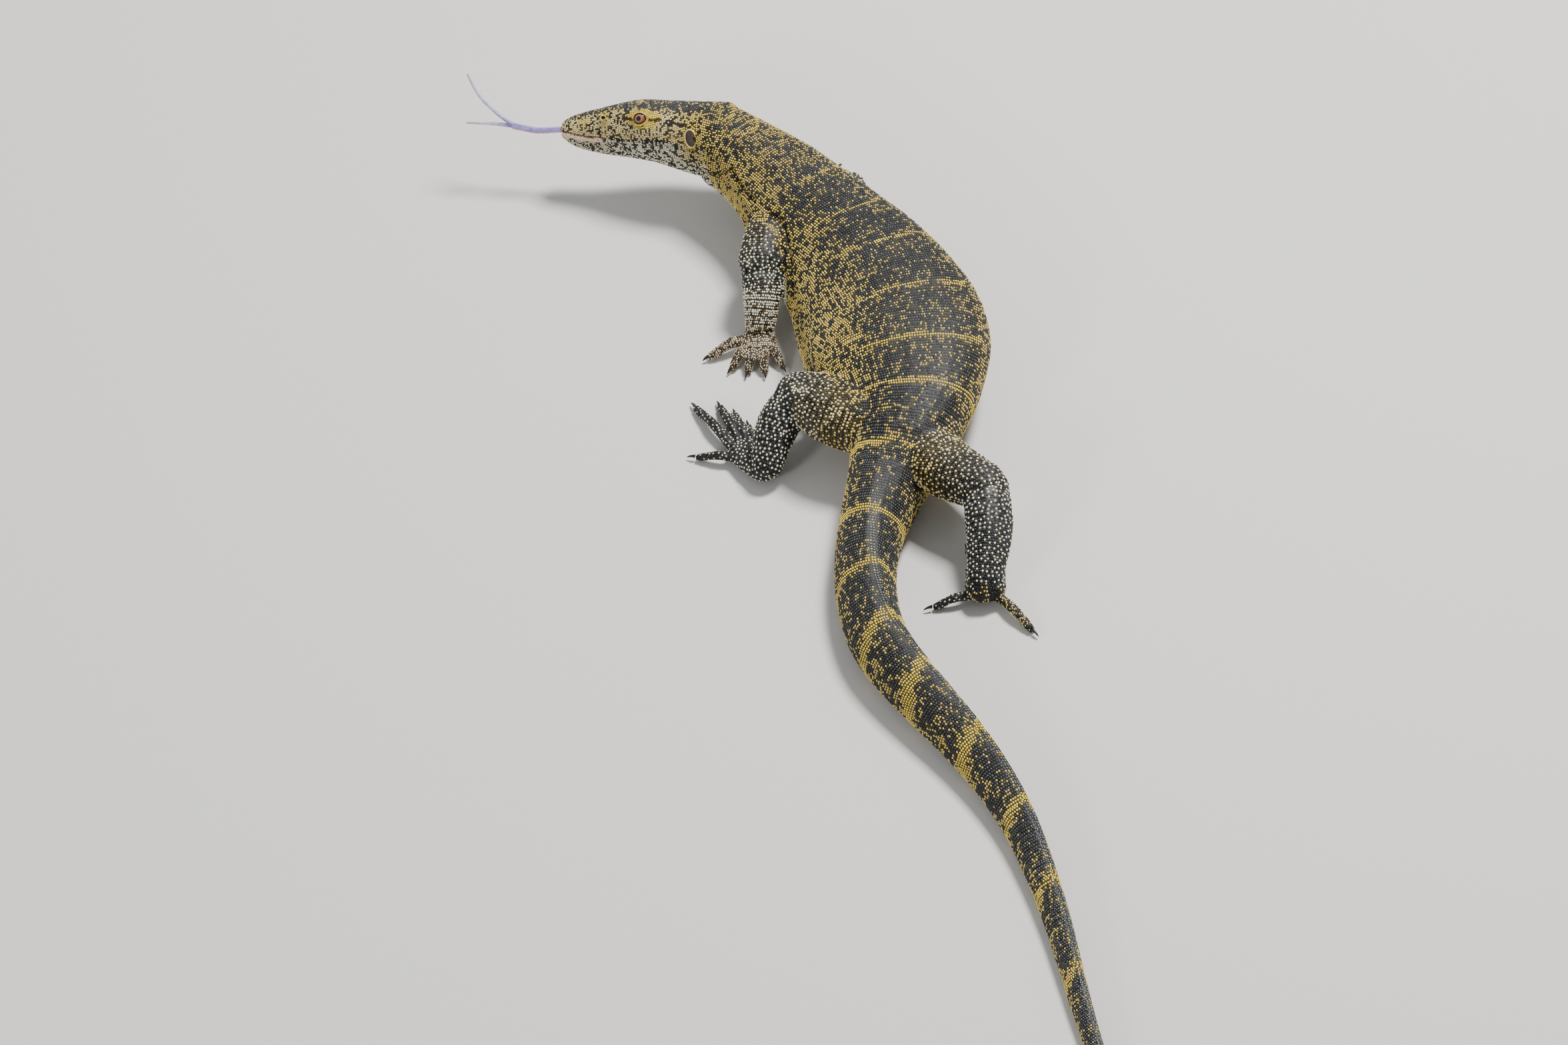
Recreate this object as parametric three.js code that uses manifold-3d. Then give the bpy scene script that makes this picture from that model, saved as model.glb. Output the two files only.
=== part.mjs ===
// Nile monitor resting with its belly, feet and tail on the floor.
// Millimetres, +Z up, the floor at z = 0, the head towards +Y and the tail towards -Y.
import * as THREE from "three";
import { mergeVertices } from "three/addons/utils/BufferGeometryUtils.js";
import Module from "manifold-3d";

const wasm = await Module();
wasm.setup();

// Driving sizes
const GAP = 0.3;
const SIZES = {
  trunkSides: 26,
  trunkStep: 12,
  tailSides: 14,
  tailStep: 18,
  tailTipHalf: 1.7,
  limbSides: 12,
  toeSides: 7,
  clawSides: 5,
  eyeRadius: 5.5,
  eyeOpening: 4.5,
  headSides: 26,
  headSteps: 22,
};

const COLOURS = {
  back: "#3a3a34",
  flank: "#8a7c3c",
  limb: "#2c2d2a",
  hand: "#6b5a3c",
  head: "#4c4a3e",
  claw: "#1b1714",
  eye: "#3a1c12",
  tongue: "#8f86b8",
};

// Plain helpers
const vec = (p) => new THREE.Vector3(p[0], p[1], p[2]);
const mixed = (a, b, t) => a + (b - a) * t;
const signedPower = (x, p) => Math.sign(x) * Math.abs(x) ** p;
const bell = (x, centre, spread) => Math.exp(-(((x - centre) / spread) ** 2));

// A three.js geometry as a solid that can be joined and cut.
function solidFrom(geometry) {
  const bare = new THREE.BufferGeometry();
  const source = geometry.index ? geometry : mergeVertices(geometry, 1e-4);
  bare.setAttribute("position", source.getAttribute("position"));
  bare.setIndex(source.index);
  const merged = mergeVertices(bare, 1e-4);
  return new wasm.Manifold(
    new wasm.Mesh({
      numProp: 3,
      vertProperties: new Float32Array(merged.attributes.position.array),
      triVerts: new Uint32Array(merged.index.array),
    }),
  );
}

// A finished solid as a three.js geometry.
function geometryFrom(solid) {
  const mesh = solid.getMesh();
  const positions = new Float32Array(mesh.numVert * 3);
  for (let i = 0; i < mesh.numVert; i++) {
    positions.set(mesh.vertProperties.subarray(i * mesh.numProp, i * mesh.numProp + 3), i * 3);
  }
  const geometry = new THREE.BufferGeometry();
  geometry.setAttribute("position", new THREE.BufferAttribute(positions, 3));
  geometry.setIndex(new THREE.BufferAttribute(mesh.triVerts, 1));
  geometry.computeVertexNormals();
  return geometry;
}

const joined = (solids) => solids.reduce((a, b) => a.add(b));
const cutBy = (solid, tools) => tools.reduce((a, b) => a.subtract(b), solid);

// The largest body of a solid, which drops slivers left by a cut.
function largestBody(solid) {
  const bodies = solid.decompose();
  return bodies.sort((a, b) => b.volume() - a.volume())[0];
}

// A closed skin over rings of equal length, with a point in the middle of each end.
function loft(rings, startPoint, endPoint) {
  const sides = rings[0].length;
  const points = rings.flat();
  const first = points.length;
  points.push(startPoint);
  points.push(endPoint);
  const index = [];
  for (let j = 0; j < sides; j++) {
    const k = (j + 1) % sides;
    index.push(first, k, j);
    const last = (rings.length - 1) * sides;
    index.push(first + 1, last + j, last + k);
    for (let i = 0; i + 1 < rings.length; i++) {
      const a = i * sides;
      const b = a + sides;
      index.push(a + j, a + k, b + k);
      index.push(a + j, b + k, b + j);
    }
  }
  const geometry = new THREE.BufferGeometry().setFromPoints(points);
  geometry.setIndex(index);
  const solid = solidFrom(geometry);
  if (solid.volume() > 0) return solid;
  geometry.setIndex(index.reverse());
  return solidFrom(geometry);
}

// A ring round a centre, in the plane of side and up. The shape gives (across, height) at an angle.
function ring(centre, side, up, sides, shape) {
  const points = [];
  for (let j = 0; j < sides; j++) {
    const [across, height] = shape((2 * Math.PI * j) / sides);
    const point = centre.clone().addScaledVector(side, across).addScaledVector(up, height);
    points.push(point);
  }
  return points;
}

const averageOf = (points) =>
  points.reduce((sum, p) => sum.add(p), new THREE.Vector3()).divideScalar(points.length);

// Body from the back of the head to the tip of the tail.
// Each station: centre x, y, z, half width, height above and below the centre, lean of the back
// to the right as a share of the height, roll in degrees and the height of the keel.
const bodyStations = [
  { at: [-104, 228, 51], half: 20, above: 20, below: 33, lean: 0, roll: 16, keel: 0 },
  { at: [-79, 216, 51], half: 23, above: 22.5, below: 37, lean: 0, roll: 12, keel: 0 },
  { at: [-59, 190, 48], half: 26.5, above: 24, below: 36, lean: 0.05, roll: 7, keel: 0 },
  { at: [-43, 162, 45], half: 32, above: 26, below: 34, lean: 0.17, roll: 6, keel: 0 },
  { at: [-31, 132, 41], half: 38, above: 30, below: 36, lean: 0.26, roll: 6, keel: 0 },
  { at: [-17.5, 100, 39], half: 39.5, above: 33, below: 42, lean: 0.37, roll: 8, keel: 0 },
  { at: [-4, 66, 38], half: 45.5, above: 35, below: 44, lean: 0.4, roll: 9, keel: 0 },
  { at: [5, 30, 37.5], half: 53.5, above: 36, below: 45, lean: 0.42, roll: 9, keel: 0 },
  { at: [11, -6, 37], half: 59, above: 37, below: 45, lean: 0.35, roll: 9, keel: 0 },
  { at: [11, -42, 36.5], half: 57, above: 36, below: 44, lean: 0.35, roll: 8, keel: 0 },
  { at: [8, -76, 35], half: 47, above: 34, below: 41, lean: 0.3, roll: 7, keel: 0 },
  { at: [-1, -106, 32], half: 36, above: 31, below: 36, lean: 0.2, roll: 6, keel: 0 },
];

// The tail: places its centre line goes through, with its roll; sizes follow the length.
const tailPath = [
  { at: [-15, -134], roll: 8 },
  { at: [-29, -166], roll: 12 },
  { at: [-40, -202], roll: 18 },
  { at: [-45, -240], roll: 24 },
  { at: [-43, -278], roll: 30 },
  { at: [-32, -315], roll: 33 },
  { at: [-17, -352], roll: 34 },
  { at: [-2, -389], roll: 34 },
  { at: [11, -428], roll: 34 },
  { at: [21, -470], roll: 33 },
  { at: [27, -515], roll: 32 },
  { at: [31, -562], roll: 30 },
  { at: [33, -610], roll: 28 },
  { at: [35, -660], roll: 26 },
  { at: [39, -710], roll: 24 },
  { at: [47, -758], roll: 22 },
  { at: [58, -804], roll: 20 },
  { at: [72, -848], roll: 18 },
  { at: [88, -890], roll: 16 },
];
const tailHalf = (t) => mixed(27.5, SIZES.tailTipHalf, t ** 0.62) + 1.5 * bell(t, 0.3, 0.14);
const tailAbove = (t) => mixed(27, SIZES.tailTipHalf * 1.2, t ** 0.8) + 1.5 * bell(t, 0.28, 0.16);
const tailKeel = (t) => 3.2 * Math.sin(Math.PI * Math.min(1, t * 1.1)) ** 0.7;
tailPath.forEach((place, i) => {
  const t = i / (tailPath.length - 1);
  const above = tailAbove(t);
  const lying = (place.roll * Math.PI) / 180;
  const reach = Math.hypot(above * Math.cos(lying), tailHalf(t) * Math.sin(lying));
  bodyStations.push({
    at: [place.at[0], place.at[1], reach * 0.93],
    half: tailHalf(t),
    above,
    below: above,
    lean: 0,
    roll: place.roll,
    keel: Math.max(0, tailKeel(t)),
  });
});

const curveOf = (points) => new THREE.CatmullRomCurve3(points, false, "catmullrom", 0.5);
const bodyLine = curveOf(bodyStations.map((s) => vec(s.at)));
const bodySizes = curveOf(bodyStations.map((s) => new THREE.Vector3(s.half, s.above, s.below)));
const bodyTurns = curveOf(bodyStations.map((s) => new THREE.Vector3(s.lean, s.roll, s.keel)));
const stationOf = (index) => index / (bodyStations.length - 1);

// One cross section of the body at t, made larger by grow.
function bodyRing(t, sides, grow) {
  const centre = bodyLine.getPoint(t);
  const along = bodyLine.getTangent(t);
  const level = new THREE.Vector3(along.x, along.y, 0).normalize();
  const right = new THREE.Vector3(-level.y, level.x, 0);
  const up = new THREE.Vector3().crossVectors(right, along).normalize();
  if (up.z < 0) up.negate();
  const size = bodySizes.getPoint(t);
  const turn = bodyTurns.getPoint(t);
  const lying = (turn.y * Math.PI) / 180;
  const side = right.clone().multiplyScalar(Math.cos(lying)).addScaledVector(up, -Math.sin(lying));
  const top = up.clone().multiplyScalar(Math.cos(lying)).addScaledVector(right, Math.sin(lying));
  const shape = (angle) => {
    const c = Math.cos(angle);
    const s = Math.sin(angle);
    const tall = s > 0 ? size.y : size.z;
    const square = s > 0 ? 0.94 : 0.8;
    const height = tall * signedPower(s, square);
    const across = size.x * signedPower(c, 0.92) + turn.x * height;
    const keel = turn.z * Math.max(0, s) ** 14;
    const reach = Math.hypot(across, height) || 1;
    return [across * (1 + grow / reach), height * (1 + grow / reach) + keel];
  };
  const points = ring(centre, side, top, sides, shape);
  points.forEach((p) => {
    p.z = Math.max(p.z, grow > 0 ? -grow : 0);
  });
  return points;
}

// A length of the body between two values of t, with flat ends set back by half the gap.
function bodyLength(from, to, sides, step, grow) {
  const length = bodyLine.getLength();
  const share = GAP / 2 / length;
  const start = from + (grow > 0 ? -share : share);
  const end = to - (grow > 0 ? -share : share);
  const chord = bodyLine.getPoint(start).distanceTo(bodyLine.getPoint(end));
  const count = Math.max(3, Math.round(chord / step));
  const rings = [];
  for (let i = 0; i <= count; i++) {
    rings.push(bodyRing(mixed(start, end, i / count), sides, grow));
  }
  return loft(rings, averageOf(rings[0]), averageOf(rings[rings.length - 1]));
}

// Where the body is divided into nodes, as station numbers
const divisions = [
  { name: "neck", from: 0.93, to: 3.3, sides: SIZES.trunkSides, step: SIZES.trunkStep * 0.8 },
  { name: "torso_front", from: 3.3, to: 7, sides: SIZES.trunkSides, step: SIZES.trunkStep },
  { name: "torso_rear", from: 7, to: 11.2, sides: SIZES.trunkSides, step: SIZES.trunkStep },
  { name: "tail_1", from: 11.2, to: 15, sides: SIZES.tailSides + 4, step: SIZES.tailStep * 0.75 },
  { name: "tail_2", from: 15, to: 18.5, sides: SIZES.tailSides + 2, step: SIZES.tailStep * 0.8 },
  { name: "tail_3", from: 18.5, to: 22, sides: SIZES.tailSides, step: SIZES.tailStep },
  { name: "tail_4", from: 22, to: 26, sides: SIZES.tailSides, step: SIZES.tailStep * 1.2 },
  { name: "tail_5", from: 26, to: 30, sides: SIZES.tailSides, step: SIZES.tailStep * 1.2 },
];
const bodyPart = (d, grow) =>
  bodyLength(stationOf(d.from), stationOf(d.to), d.sides, d.step, grow);

// Limbs: a tube through points with a radius pair at each, and rounded ends.
// Each row: point, half size across the bend, half size along the bend.
function limbTube(rows, steps, sides, grow, sideHint) {
  const line = curveOf(rows.map((row) => vec(row.at)));
  const sizes = curveOf(rows.map((row) => new THREE.Vector3(row.wide, row.deep, 0)));
  const rings = [];
  const frameAt = (t) => {
    const along = line.getTangent(t);
    const side = new THREE.Vector3().crossVectors(along, sideHint).normalize();
    const up = new THREE.Vector3().crossVectors(side, along).normalize();
    return { along, side, up };
  };
  for (let i = 0; i <= steps; i++) {
    const t = i / steps;
    const { side, up } = frameAt(t);
    const size = sizes.getPoint(t);
    const shape = (angle) => [
      (size.x + grow) * Math.cos(angle),
      (size.y + grow) * Math.sin(angle),
    ];
    rings.push(ring(line.getPoint(t), side, up, sides, shape));
  }
  const cap = (t, sign) => {
    const { along, side, up } = frameAt(t);
    const size = sizes.getPoint(t);
    const bulge = Math.min(size.x, size.y) + grow;
    const centre = line.getPoint(t).addScaledVector(along, sign * bulge * 0.62);
    const shape = (angle) => [
      (size.x + grow) * 0.72 * Math.cos(angle),
      (size.y + grow) * 0.72 * Math.sin(angle),
    ];
    return {
      ringPoints: ring(centre, side, up, sides, shape),
      point: line.getPoint(t).addScaledVector(along, sign * bulge * 0.92),
    };
  };
  const start = cap(0, -1);
  const end = cap(1, 1);
  return loft([start.ringPoints, ...rings, end.ringPoints], start.point, end.point);
}

// The floor, as a block to cut with
function floorBlock(top) {
  const block = new THREE.BoxGeometry(1200, 2600, 200);
  block.translate(0, -300, top - 100);
  return solidFrom(block);
}

// Four legs. Points run from inside the body to the wrist or ankle, then the palm and toes.
// Toes: tip on the floor, the height of the knuckle and the half thickness.
const legs = [
  {
    name: "leg_front_left",
    upper: [
      { at: [-40, 132, 45], wide: 17, deep: 15 },
      { at: [-56, 112, 45], wide: 18, deep: 15 },
      { at: [-67, 88, 41], wide: 16.5, deep: 13.5 },
    ],
    lower: [
      { at: [-66, 90, 40], wide: 14.8, deep: 12.5 },
      { at: [-71, 71, 28.5], wide: 13, deep: 12 },
      { at: [-76.5, 56, 14], wide: 10.5, deep: 8.8 },
    ],
    palm: [
      { at: [-77.5, 57, 10], wide: 10.5, deep: 7.5 },
      { at: [-80, 43, 6.2], wide: 13.5, deep: 6.4 },
    ],
    toes: [
      { root: [-86, 56, 6], tip: [-114, 50, 2.8], rise: 3.6, half: 3.7 },
      { root: [-88, 47, 5], tip: [-101, 34, 2.6], rise: 4.4, half: 3.4 },
      { root: [-84, 41, 5], tip: [-91, 27, 2.6], rise: 4.6, half: 3.4 },
      { root: [-78, 40, 5], tip: [-79.5, 23, 2.6], rise: 4.4, half: 3.4 },
      { root: [-72, 46, 5], tip: [-67, 25, 2.5], rise: 3.6, half: 3.1 },
    ],
    hint: [0.2, 0.3, 1],
    clawLength: 6.5,
    colour: COLOURS.hand,
  },
  {
    name: "leg_front_right",
    upper: [
      { at: [-16, 128, 38], wide: 14, deep: 14 },
      { at: [-5, 147, 35], wide: 14.5, deep: 13 },
      { at: [3, 163, 27], wide: 12, deep: 11.5 },
    ],
    lower: [
      { at: [2, 162, 26], wide: 11.5, deep: 11 },
      { at: [-3, 179, 18], wide: 12, deep: 10 },
      { at: [-10, 194, 9], wide: 9.5, deep: 7.5 },
    ],
    palm: [
      { at: [-9, 191, 7.5], wide: 9.5, deep: 6.5 },
      { at: [-15, 205, 5.4], wide: 12, deep: 5.5 },
    ],
    toes: [
      { root: [-20, 201, 4.8], tip: [-40, 205, 2.3], rise: 3.4, half: 3.1 },
      { root: [-21, 208, 5], tip: [-40, 221, 2.6], rise: 3.6, half: 3.4 },
      { root: [-18, 211, 5], tip: [-31, 233, 2.6], rise: 3.8, half: 3.4 },
      { root: [-13, 211, 5], tip: [-18, 229, 2.6], rise: 3.8, half: 3.4 },
      { root: [-8, 206, 4.8], tip: [-2, 213, 2.4], rise: 3.4, half: 3.1 },
    ],
    hint: [0.2, -0.3, 1],
    clawLength: 6.5,
    colour: COLOURS.limb,
  },
  {
    name: "leg_hind_left",
    upper: [
      { at: [-8, -96, 38], wide: 26, deep: 22 },
      { at: [-38, -70, 40], wide: 27, deep: 21 },
      { at: [-62, -47, 40], wide: 17.5, deep: 16 },
    ],
    lower: [
      { at: [-61, -49, 39], wide: 15.5, deep: 14.5 },
      { at: [-79, -62, 29], wide: 15.5, deep: 13.5 },
      { at: [-92, -82, 13], wide: 11, deep: 9 },
    ],
    palm: [
      { at: [-92, -81, 10], wide: 11, deep: 8 },
      { at: [-99, -66, 8], wide: 12, deep: 6.5 },
      { at: [-105, -50, 5.6], wide: 13, deep: 5.8 },
    ],
    toes: [
      { root: [-96, -52, 5], tip: [-98, -26, 2.6], rise: 3, half: 3.1 },
      { root: [-101, -46, 5], tip: [-105, -12, 2.6], rise: 3.6, half: 3.2 },
      { root: [-106, -44, 5], tip: [-114, -1, 2.6], rise: 4, half: 3.3 },
      { root: [-112, -46, 5], tip: [-130, 3, 2.6], rise: 4, half: 3.3 },
      { root: [-108, -60, 5], tip: [-136, -46, 2.6], rise: 3, half: 3.1 },
    ],
    hint: [0, 0, 1],
    clawLength: 9,
    colour: COLOURS.limb,
  },
  {
    name: "leg_hind_right",
    upper: [
      { at: [6, -112, 35], wide: 24, deep: 20 },
      { at: [25, -146, 36], wide: 21.5, deep: 19 },
      { at: [47, -177, 40], wide: 17, deep: 16.5 },
    ],
    lower: [
      { at: [47, -174, 39], wide: 16, deep: 15.5 },
      { at: [43.5, -208, 30], wide: 16, deep: 14 },
      { at: [33, -240, 15], wide: 12, deep: 10 },
    ],
    palm: [
      { at: [33, -244, 11], wide: 14, deep: 9 },
      { at: [34, -230, 8], wide: 14, deep: 7.5 },
      { at: [36, -216, 5.6], wide: 14, deep: 5.8 },
    ],
    toes: [
      { root: [26, -240, 5], tip: [-3, -240, 2.6], rise: 3, half: 3.1 },
      { root: [30, -213, 5], tip: [27, -192, 2.6], rise: 3.4, half: 3.1 },
      { root: [36, -210, 5], tip: [37, -184, 2.6], rise: 3.6, half: 3.2 },
      { root: [42, -210, 5], tip: [48, -181, 2.6], rise: 3.6, half: 3.2 },
      { root: [40, -246, 4.8], tip: [57, -282, 2.6], rise: 3, half: 3.4 },
    ],
    hint: [0, 0, 1],
    clawLength: 9,
    colour: COLOURS.limb,
  },
];

// A toe: a tapering tube that rises to its knuckle and comes down to its tip.
function toeLine(toe) {
  const root = vec(toe.root);
  const tip = vec(toe.tip);
  const knuckle = root.clone().lerp(tip, 0.45);
  knuckle.z += toe.rise;
  const joint = root.clone().lerp(tip, 0.78);
  joint.z += toe.rise * 0.35;
  return curveOf([root, knuckle, joint, tip]);
}

function toeSolid(toe) {
  const line = toeLine(toe);
  const steps = 7;
  const up = new THREE.Vector3(0, 0, 1);
  const rings = [];
  for (let i = 0; i <= steps; i++) {
    const t = i / steps;
    const side = new THREE.Vector3().crossVectors(line.getTangent(t), up).normalize();
    const knuckles = 0.32 * (bell(t, 0.36, 0.1) + bell(t, 0.68, 0.09));
    const half = toe.half * (mixed(1.12, 0.86, t) + knuckles * 0.45);
    const shape = (angle) => [half * Math.cos(angle), half * 1.05 * Math.sin(angle)];
    rings.push(ring(line.getPoint(t), side, up, SIZES.toeSides, shape));
  }
  const along = line.getTangent(1);
  return loft(rings, line.getPoint(0), line.getPoint(1).addScaledVector(along, toe.half * 0.5));
}

// A claw: a hooked cone from the end of the toe, held clear of the floor.
function clawSolid(toe, length) {
  const line = toeLine(toe);
  const start = line.getPoint(1);
  const level = line.getTangent(1).setZ(0).normalize();
  start.addScaledVector(level, -0.8);
  start.z += 0.5;
  const middle = start.clone().addScaledVector(level, length * 0.62);
  middle.z += 1.1;
  const end = start.clone().addScaledVector(level, length);
  end.z = 0.9;
  const line2 = new THREE.QuadraticBezierCurve3(start, middle, end);
  const side = new THREE.Vector3(-level.y, level.x, 0);
  const steps = 4;
  const rings = [];
  for (let i = 0; i < steps; i++) {
    const t = i / steps;
    const half = toe.half * 0.56 * (1 - t) ** 0.75;
    const shape = (angle) => [half * 0.8 * Math.cos(angle), half * 1.15 * Math.sin(angle)];
    const up = new THREE.Vector3().crossVectors(line2.getTangent(t), side).normalize();
    rings.push(ring(line2.getPoint(t), side, up, SIZES.clawSides, shape));
  }
  return loft(rings, line2.getPoint(0), end);
}

// Head, in its own frame: back from the tip of the snout, left and up from the mouth line.
const SNOUT_TIP = new THREE.Vector3(-180.4, 262, 43.4);
const HEAD_AXIS = new THREE.Vector3(-0.915, 0.392, -0.085).normalize();
const HEAD_ROLL = (-22 * Math.PI) / 180;
const headLeft = new THREE.Vector3(-HEAD_AXIS.y, HEAD_AXIS.x, 0).normalize();
const headUp = new THREE.Vector3().crossVectors(HEAD_AXIS, headLeft).normalize();
const rolledLeft = headLeft
  .clone()
  .multiplyScalar(Math.cos(HEAD_ROLL))
  .addScaledVector(headUp, -Math.sin(HEAD_ROLL));
const rolledUp = headUp
  .clone()
  .multiplyScalar(Math.cos(HEAD_ROLL))
  .addScaledVector(headLeft, Math.sin(HEAD_ROLL));
const headMatrix = new THREE.Matrix4()
  .makeBasis(HEAD_AXIS.clone().negate(), rolledLeft.clone().negate(), rolledUp)
  .setPosition(SNOUT_TIP);
const headPoint = (back, left, up) => new THREE.Vector3(back, -left, up).applyMatrix4(headMatrix);

// Head sections: distance back, half width, top above and chin below the mouth line.
const headStations = [
  { back: 0.6, half: 4.6, top: 6.2, chin: 3.6 },
  { back: 4.4, half: 6.9, top: 9.2, chin: 7 },
  { back: 10, half: 8.2, top: 11.8, chin: 10.8 },
  { back: 20, half: 9, top: 14.8, chin: 14 },
  { back: 30, half: 9.9, top: 17, chin: 16 },
  { back: 42, half: 12.2, top: 19.8, chin: 17.6 },
  { back: 55, half: 15.4, top: 21.9, chin: 19.2 },
  { back: 68, half: 18.4, top: 22, chin: 21.4 },
  { back: 82, half: 20.8, top: 21.2, chin: 26 },
  { back: 97, half: 21.8, top: 20.6, chin: 31 },
  { back: 109, half: 22.2, top: 20.4, chin: 33 },
  { back: 124, half: 22, top: 20.4, chin: 32 },
];
const headLine = curveOf(headStations.map((s) => new THREE.Vector3(s.back, s.half, s.top)));
const chinLine = curveOf(headStations.map((s) => new THREE.Vector3(s.chin, 0, 0)));

function headRing(t, grow) {
  const size = headLine.getPoint(t);
  const chin = chinLine.getPoint(t).x;
  const points = [];
  for (let j = 0; j < SIZES.headSides; j++) {
    const angle = (2 * Math.PI * j) / SIZES.headSides;
    const c = Math.cos(angle);
    const s = Math.sin(angle);
    const height = (s > 0 ? size.z : chin) * signedPower(s, 0.86);
    const lifted = Math.max(0, s);
    const taper = 1 - 0.2 * lifted ** 2 - 0.16 * Math.max(0, -s) ** 2;
    const folded = angle > Math.PI / 2 ? Math.PI - angle : angle;
    const brow = 1.6 * bell(size.x, 61, 10) * bell(folded, 0.95, 0.3);
    const hollow = 1.2 * bell(size.x, 40, 13) * bell(Math.abs(c), 0.9, 0.2) * lifted;
    const across = (size.y * taper - hollow) * signedPower(c, 0.85) + brow * Math.sign(c);
    const reach = Math.hypot(across, height) || 1;
    const larger = 1 + grow / reach;
    points.push(headPoint(size.x, across * larger, height * larger + brow * 0.5));
  }
  return points;
}

function headLoft(grow) {
  const rings = [];
  for (let i = 0; i <= SIZES.headSteps; i++) {
    rings.push(headRing(i / SIZES.headSteps, grow));
  }
  const tip = headPoint(-0.4 - grow, 0, 1);
  return loft(rings, tip, averageOf(rings[rings.length - 1]));
}

// The height of the mouth line at a distance back.
const mouthHeight = (back) => 3.4 * bell(back, 0, 17) + 1.6 * bell(back, 76, 11) - 1.3;
const MOUTH_END = 80;

// The opening of the mouth: a thin wedge along the mouth line, deeper at the front.
function mouthBlade(thickness) {
  const shape = new THREE.Shape();
  const steps = 14;
  for (let i = 0; i <= steps; i++) {
    const back = mixed(-6, MOUTH_END, i / steps);
    const open = thickness * (1 - (0.85 * (back + 6)) / (MOUTH_END + 6));
    const height = mouthHeight(back) + open / 2;
    if (i === 0) shape.moveTo(back, height);
    else shape.lineTo(back, height);
  }
  for (let i = steps; i >= 0; i--) {
    const back = mixed(-6, MOUTH_END, i / steps);
    const open = thickness * (1 - (0.85 * (back + 6)) / (MOUTH_END + 6));
    shape.lineTo(back, mouthHeight(back) - open / 2);
  }
  const blade = new THREE.ExtrudeGeometry(shape, { depth: 60, bevelEnabled: false, steps: 1 });
  blade.rotateX(Math.PI / 2);
  blade.translate(0, 30, 0);
  blade.applyMatrix4(headMatrix);
  return solidFrom(blade);
}

// A three.js geometry set in the head frame at (back, left, up), turned and scaled.
function inHead(geometry, at, turns, scales) {
  const place = new THREE.Matrix4().compose(
    new THREE.Vector3(at[0], -at[1], at[2]),
    new THREE.Quaternion().setFromEuler(new THREE.Euler(turns[0], turns[1], turns[2])),
    new THREE.Vector3(scales[0], scales[1], scales[2]),
  );
  const copy = geometry.clone().applyMatrix4(place).applyMatrix4(headMatrix);
  return solidFrom(copy);
}

const EYE = { back: 63.3, left: 10.4, up: 12.3, lid: 13.2 };
const NOSTRIL = { back: 35, left: 8.3, up: 12.8 };
const EAR = { back: 100, left: 20.6, up: 1.5 };
const LID_TURN = 0.5;
const NOSTRIL_TURN = 0.75;
const FOLD_SIZES = { lidLength: 1.32, lidHeight: 0.84, eyeLength: 1.05, eyeHeight: 0.8 };

function headSolid(tongueRoom, neckRoom) {
  const parts = [headLoft(0)];
  const cuts = [mouthBlade(2.1), tongueRoom, neckRoom];
  for (const side of [1, -1]) {
    const lidTurn = [side * -LID_TURN, 0, 0];
    const lidAt = [EYE.back + 0.4, side * EYE.lid, EYE.up + 1.2];
    const lid = new THREE.TorusGeometry(SIZES.eyeOpening + 0.7, 1.15, 6, 16);
    lid.rotateX(Math.PI / 2);
    parts.push(inHead(lid, lidAt, lidTurn, [FOLD_SIZES.lidLength, 1, FOLD_SIZES.lidHeight]));
    const nostrilTurn = [side * -NOSTRIL_TURN, 0, 0];
    const nostrilAt = [NOSTRIL.back, side * NOSTRIL.left, NOSTRIL.up];
    const rim = new THREE.TorusGeometry(2.3, 0.8, 5, 10);
    rim.rotateX(Math.PI / 2);
    parts.push(inHead(rim, nostrilAt, nostrilTurn, [1.15, 1, 0.9]));
    const ball = new THREE.SphereGeometry(SIZES.eyeRadius + GAP, 14, 10);
    cuts.push(inHead(ball, [EYE.back, side * EYE.left, EYE.up], [0, 0, 0], [1, 1, 1]));
    const opening = new THREE.CylinderGeometry(SIZES.eyeOpening, SIZES.eyeOpening, 8, 16);
    const openingAt = [EYE.back, side * (EYE.left + 6), EYE.up + 2.6];
    cuts.push(inHead(opening, openingAt, lidTurn, [FOLD_SIZES.eyeLength, 1, FOLD_SIZES.eyeHeight]));
    const pit = new THREE.SphereGeometry(1.7, 10, 8);
    cuts.push(inHead(pit, nostrilAt, nostrilTurn, [1.2, 1.6, 0.95]));
    const ear = new THREE.SphereGeometry(1, 12, 10);
    const earAt = [EAR.back, side * (EAR.left + 1), EAR.up];
    cuts.push(inHead(ear, earAt, [side * 0.2, -0.25, 0], [3.8, 2.6, 6.6]));
  }
  return largestBody(cutBy(joined(parts), cuts));
}

function eyeSolid(side) {
  const ball = new THREE.SphereGeometry(SIZES.eyeRadius, 14, 10);
  return inHead(ball, [EYE.back, side * EYE.left, EYE.up], [0, 0, 0], [1, 1, 1]);
}

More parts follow.
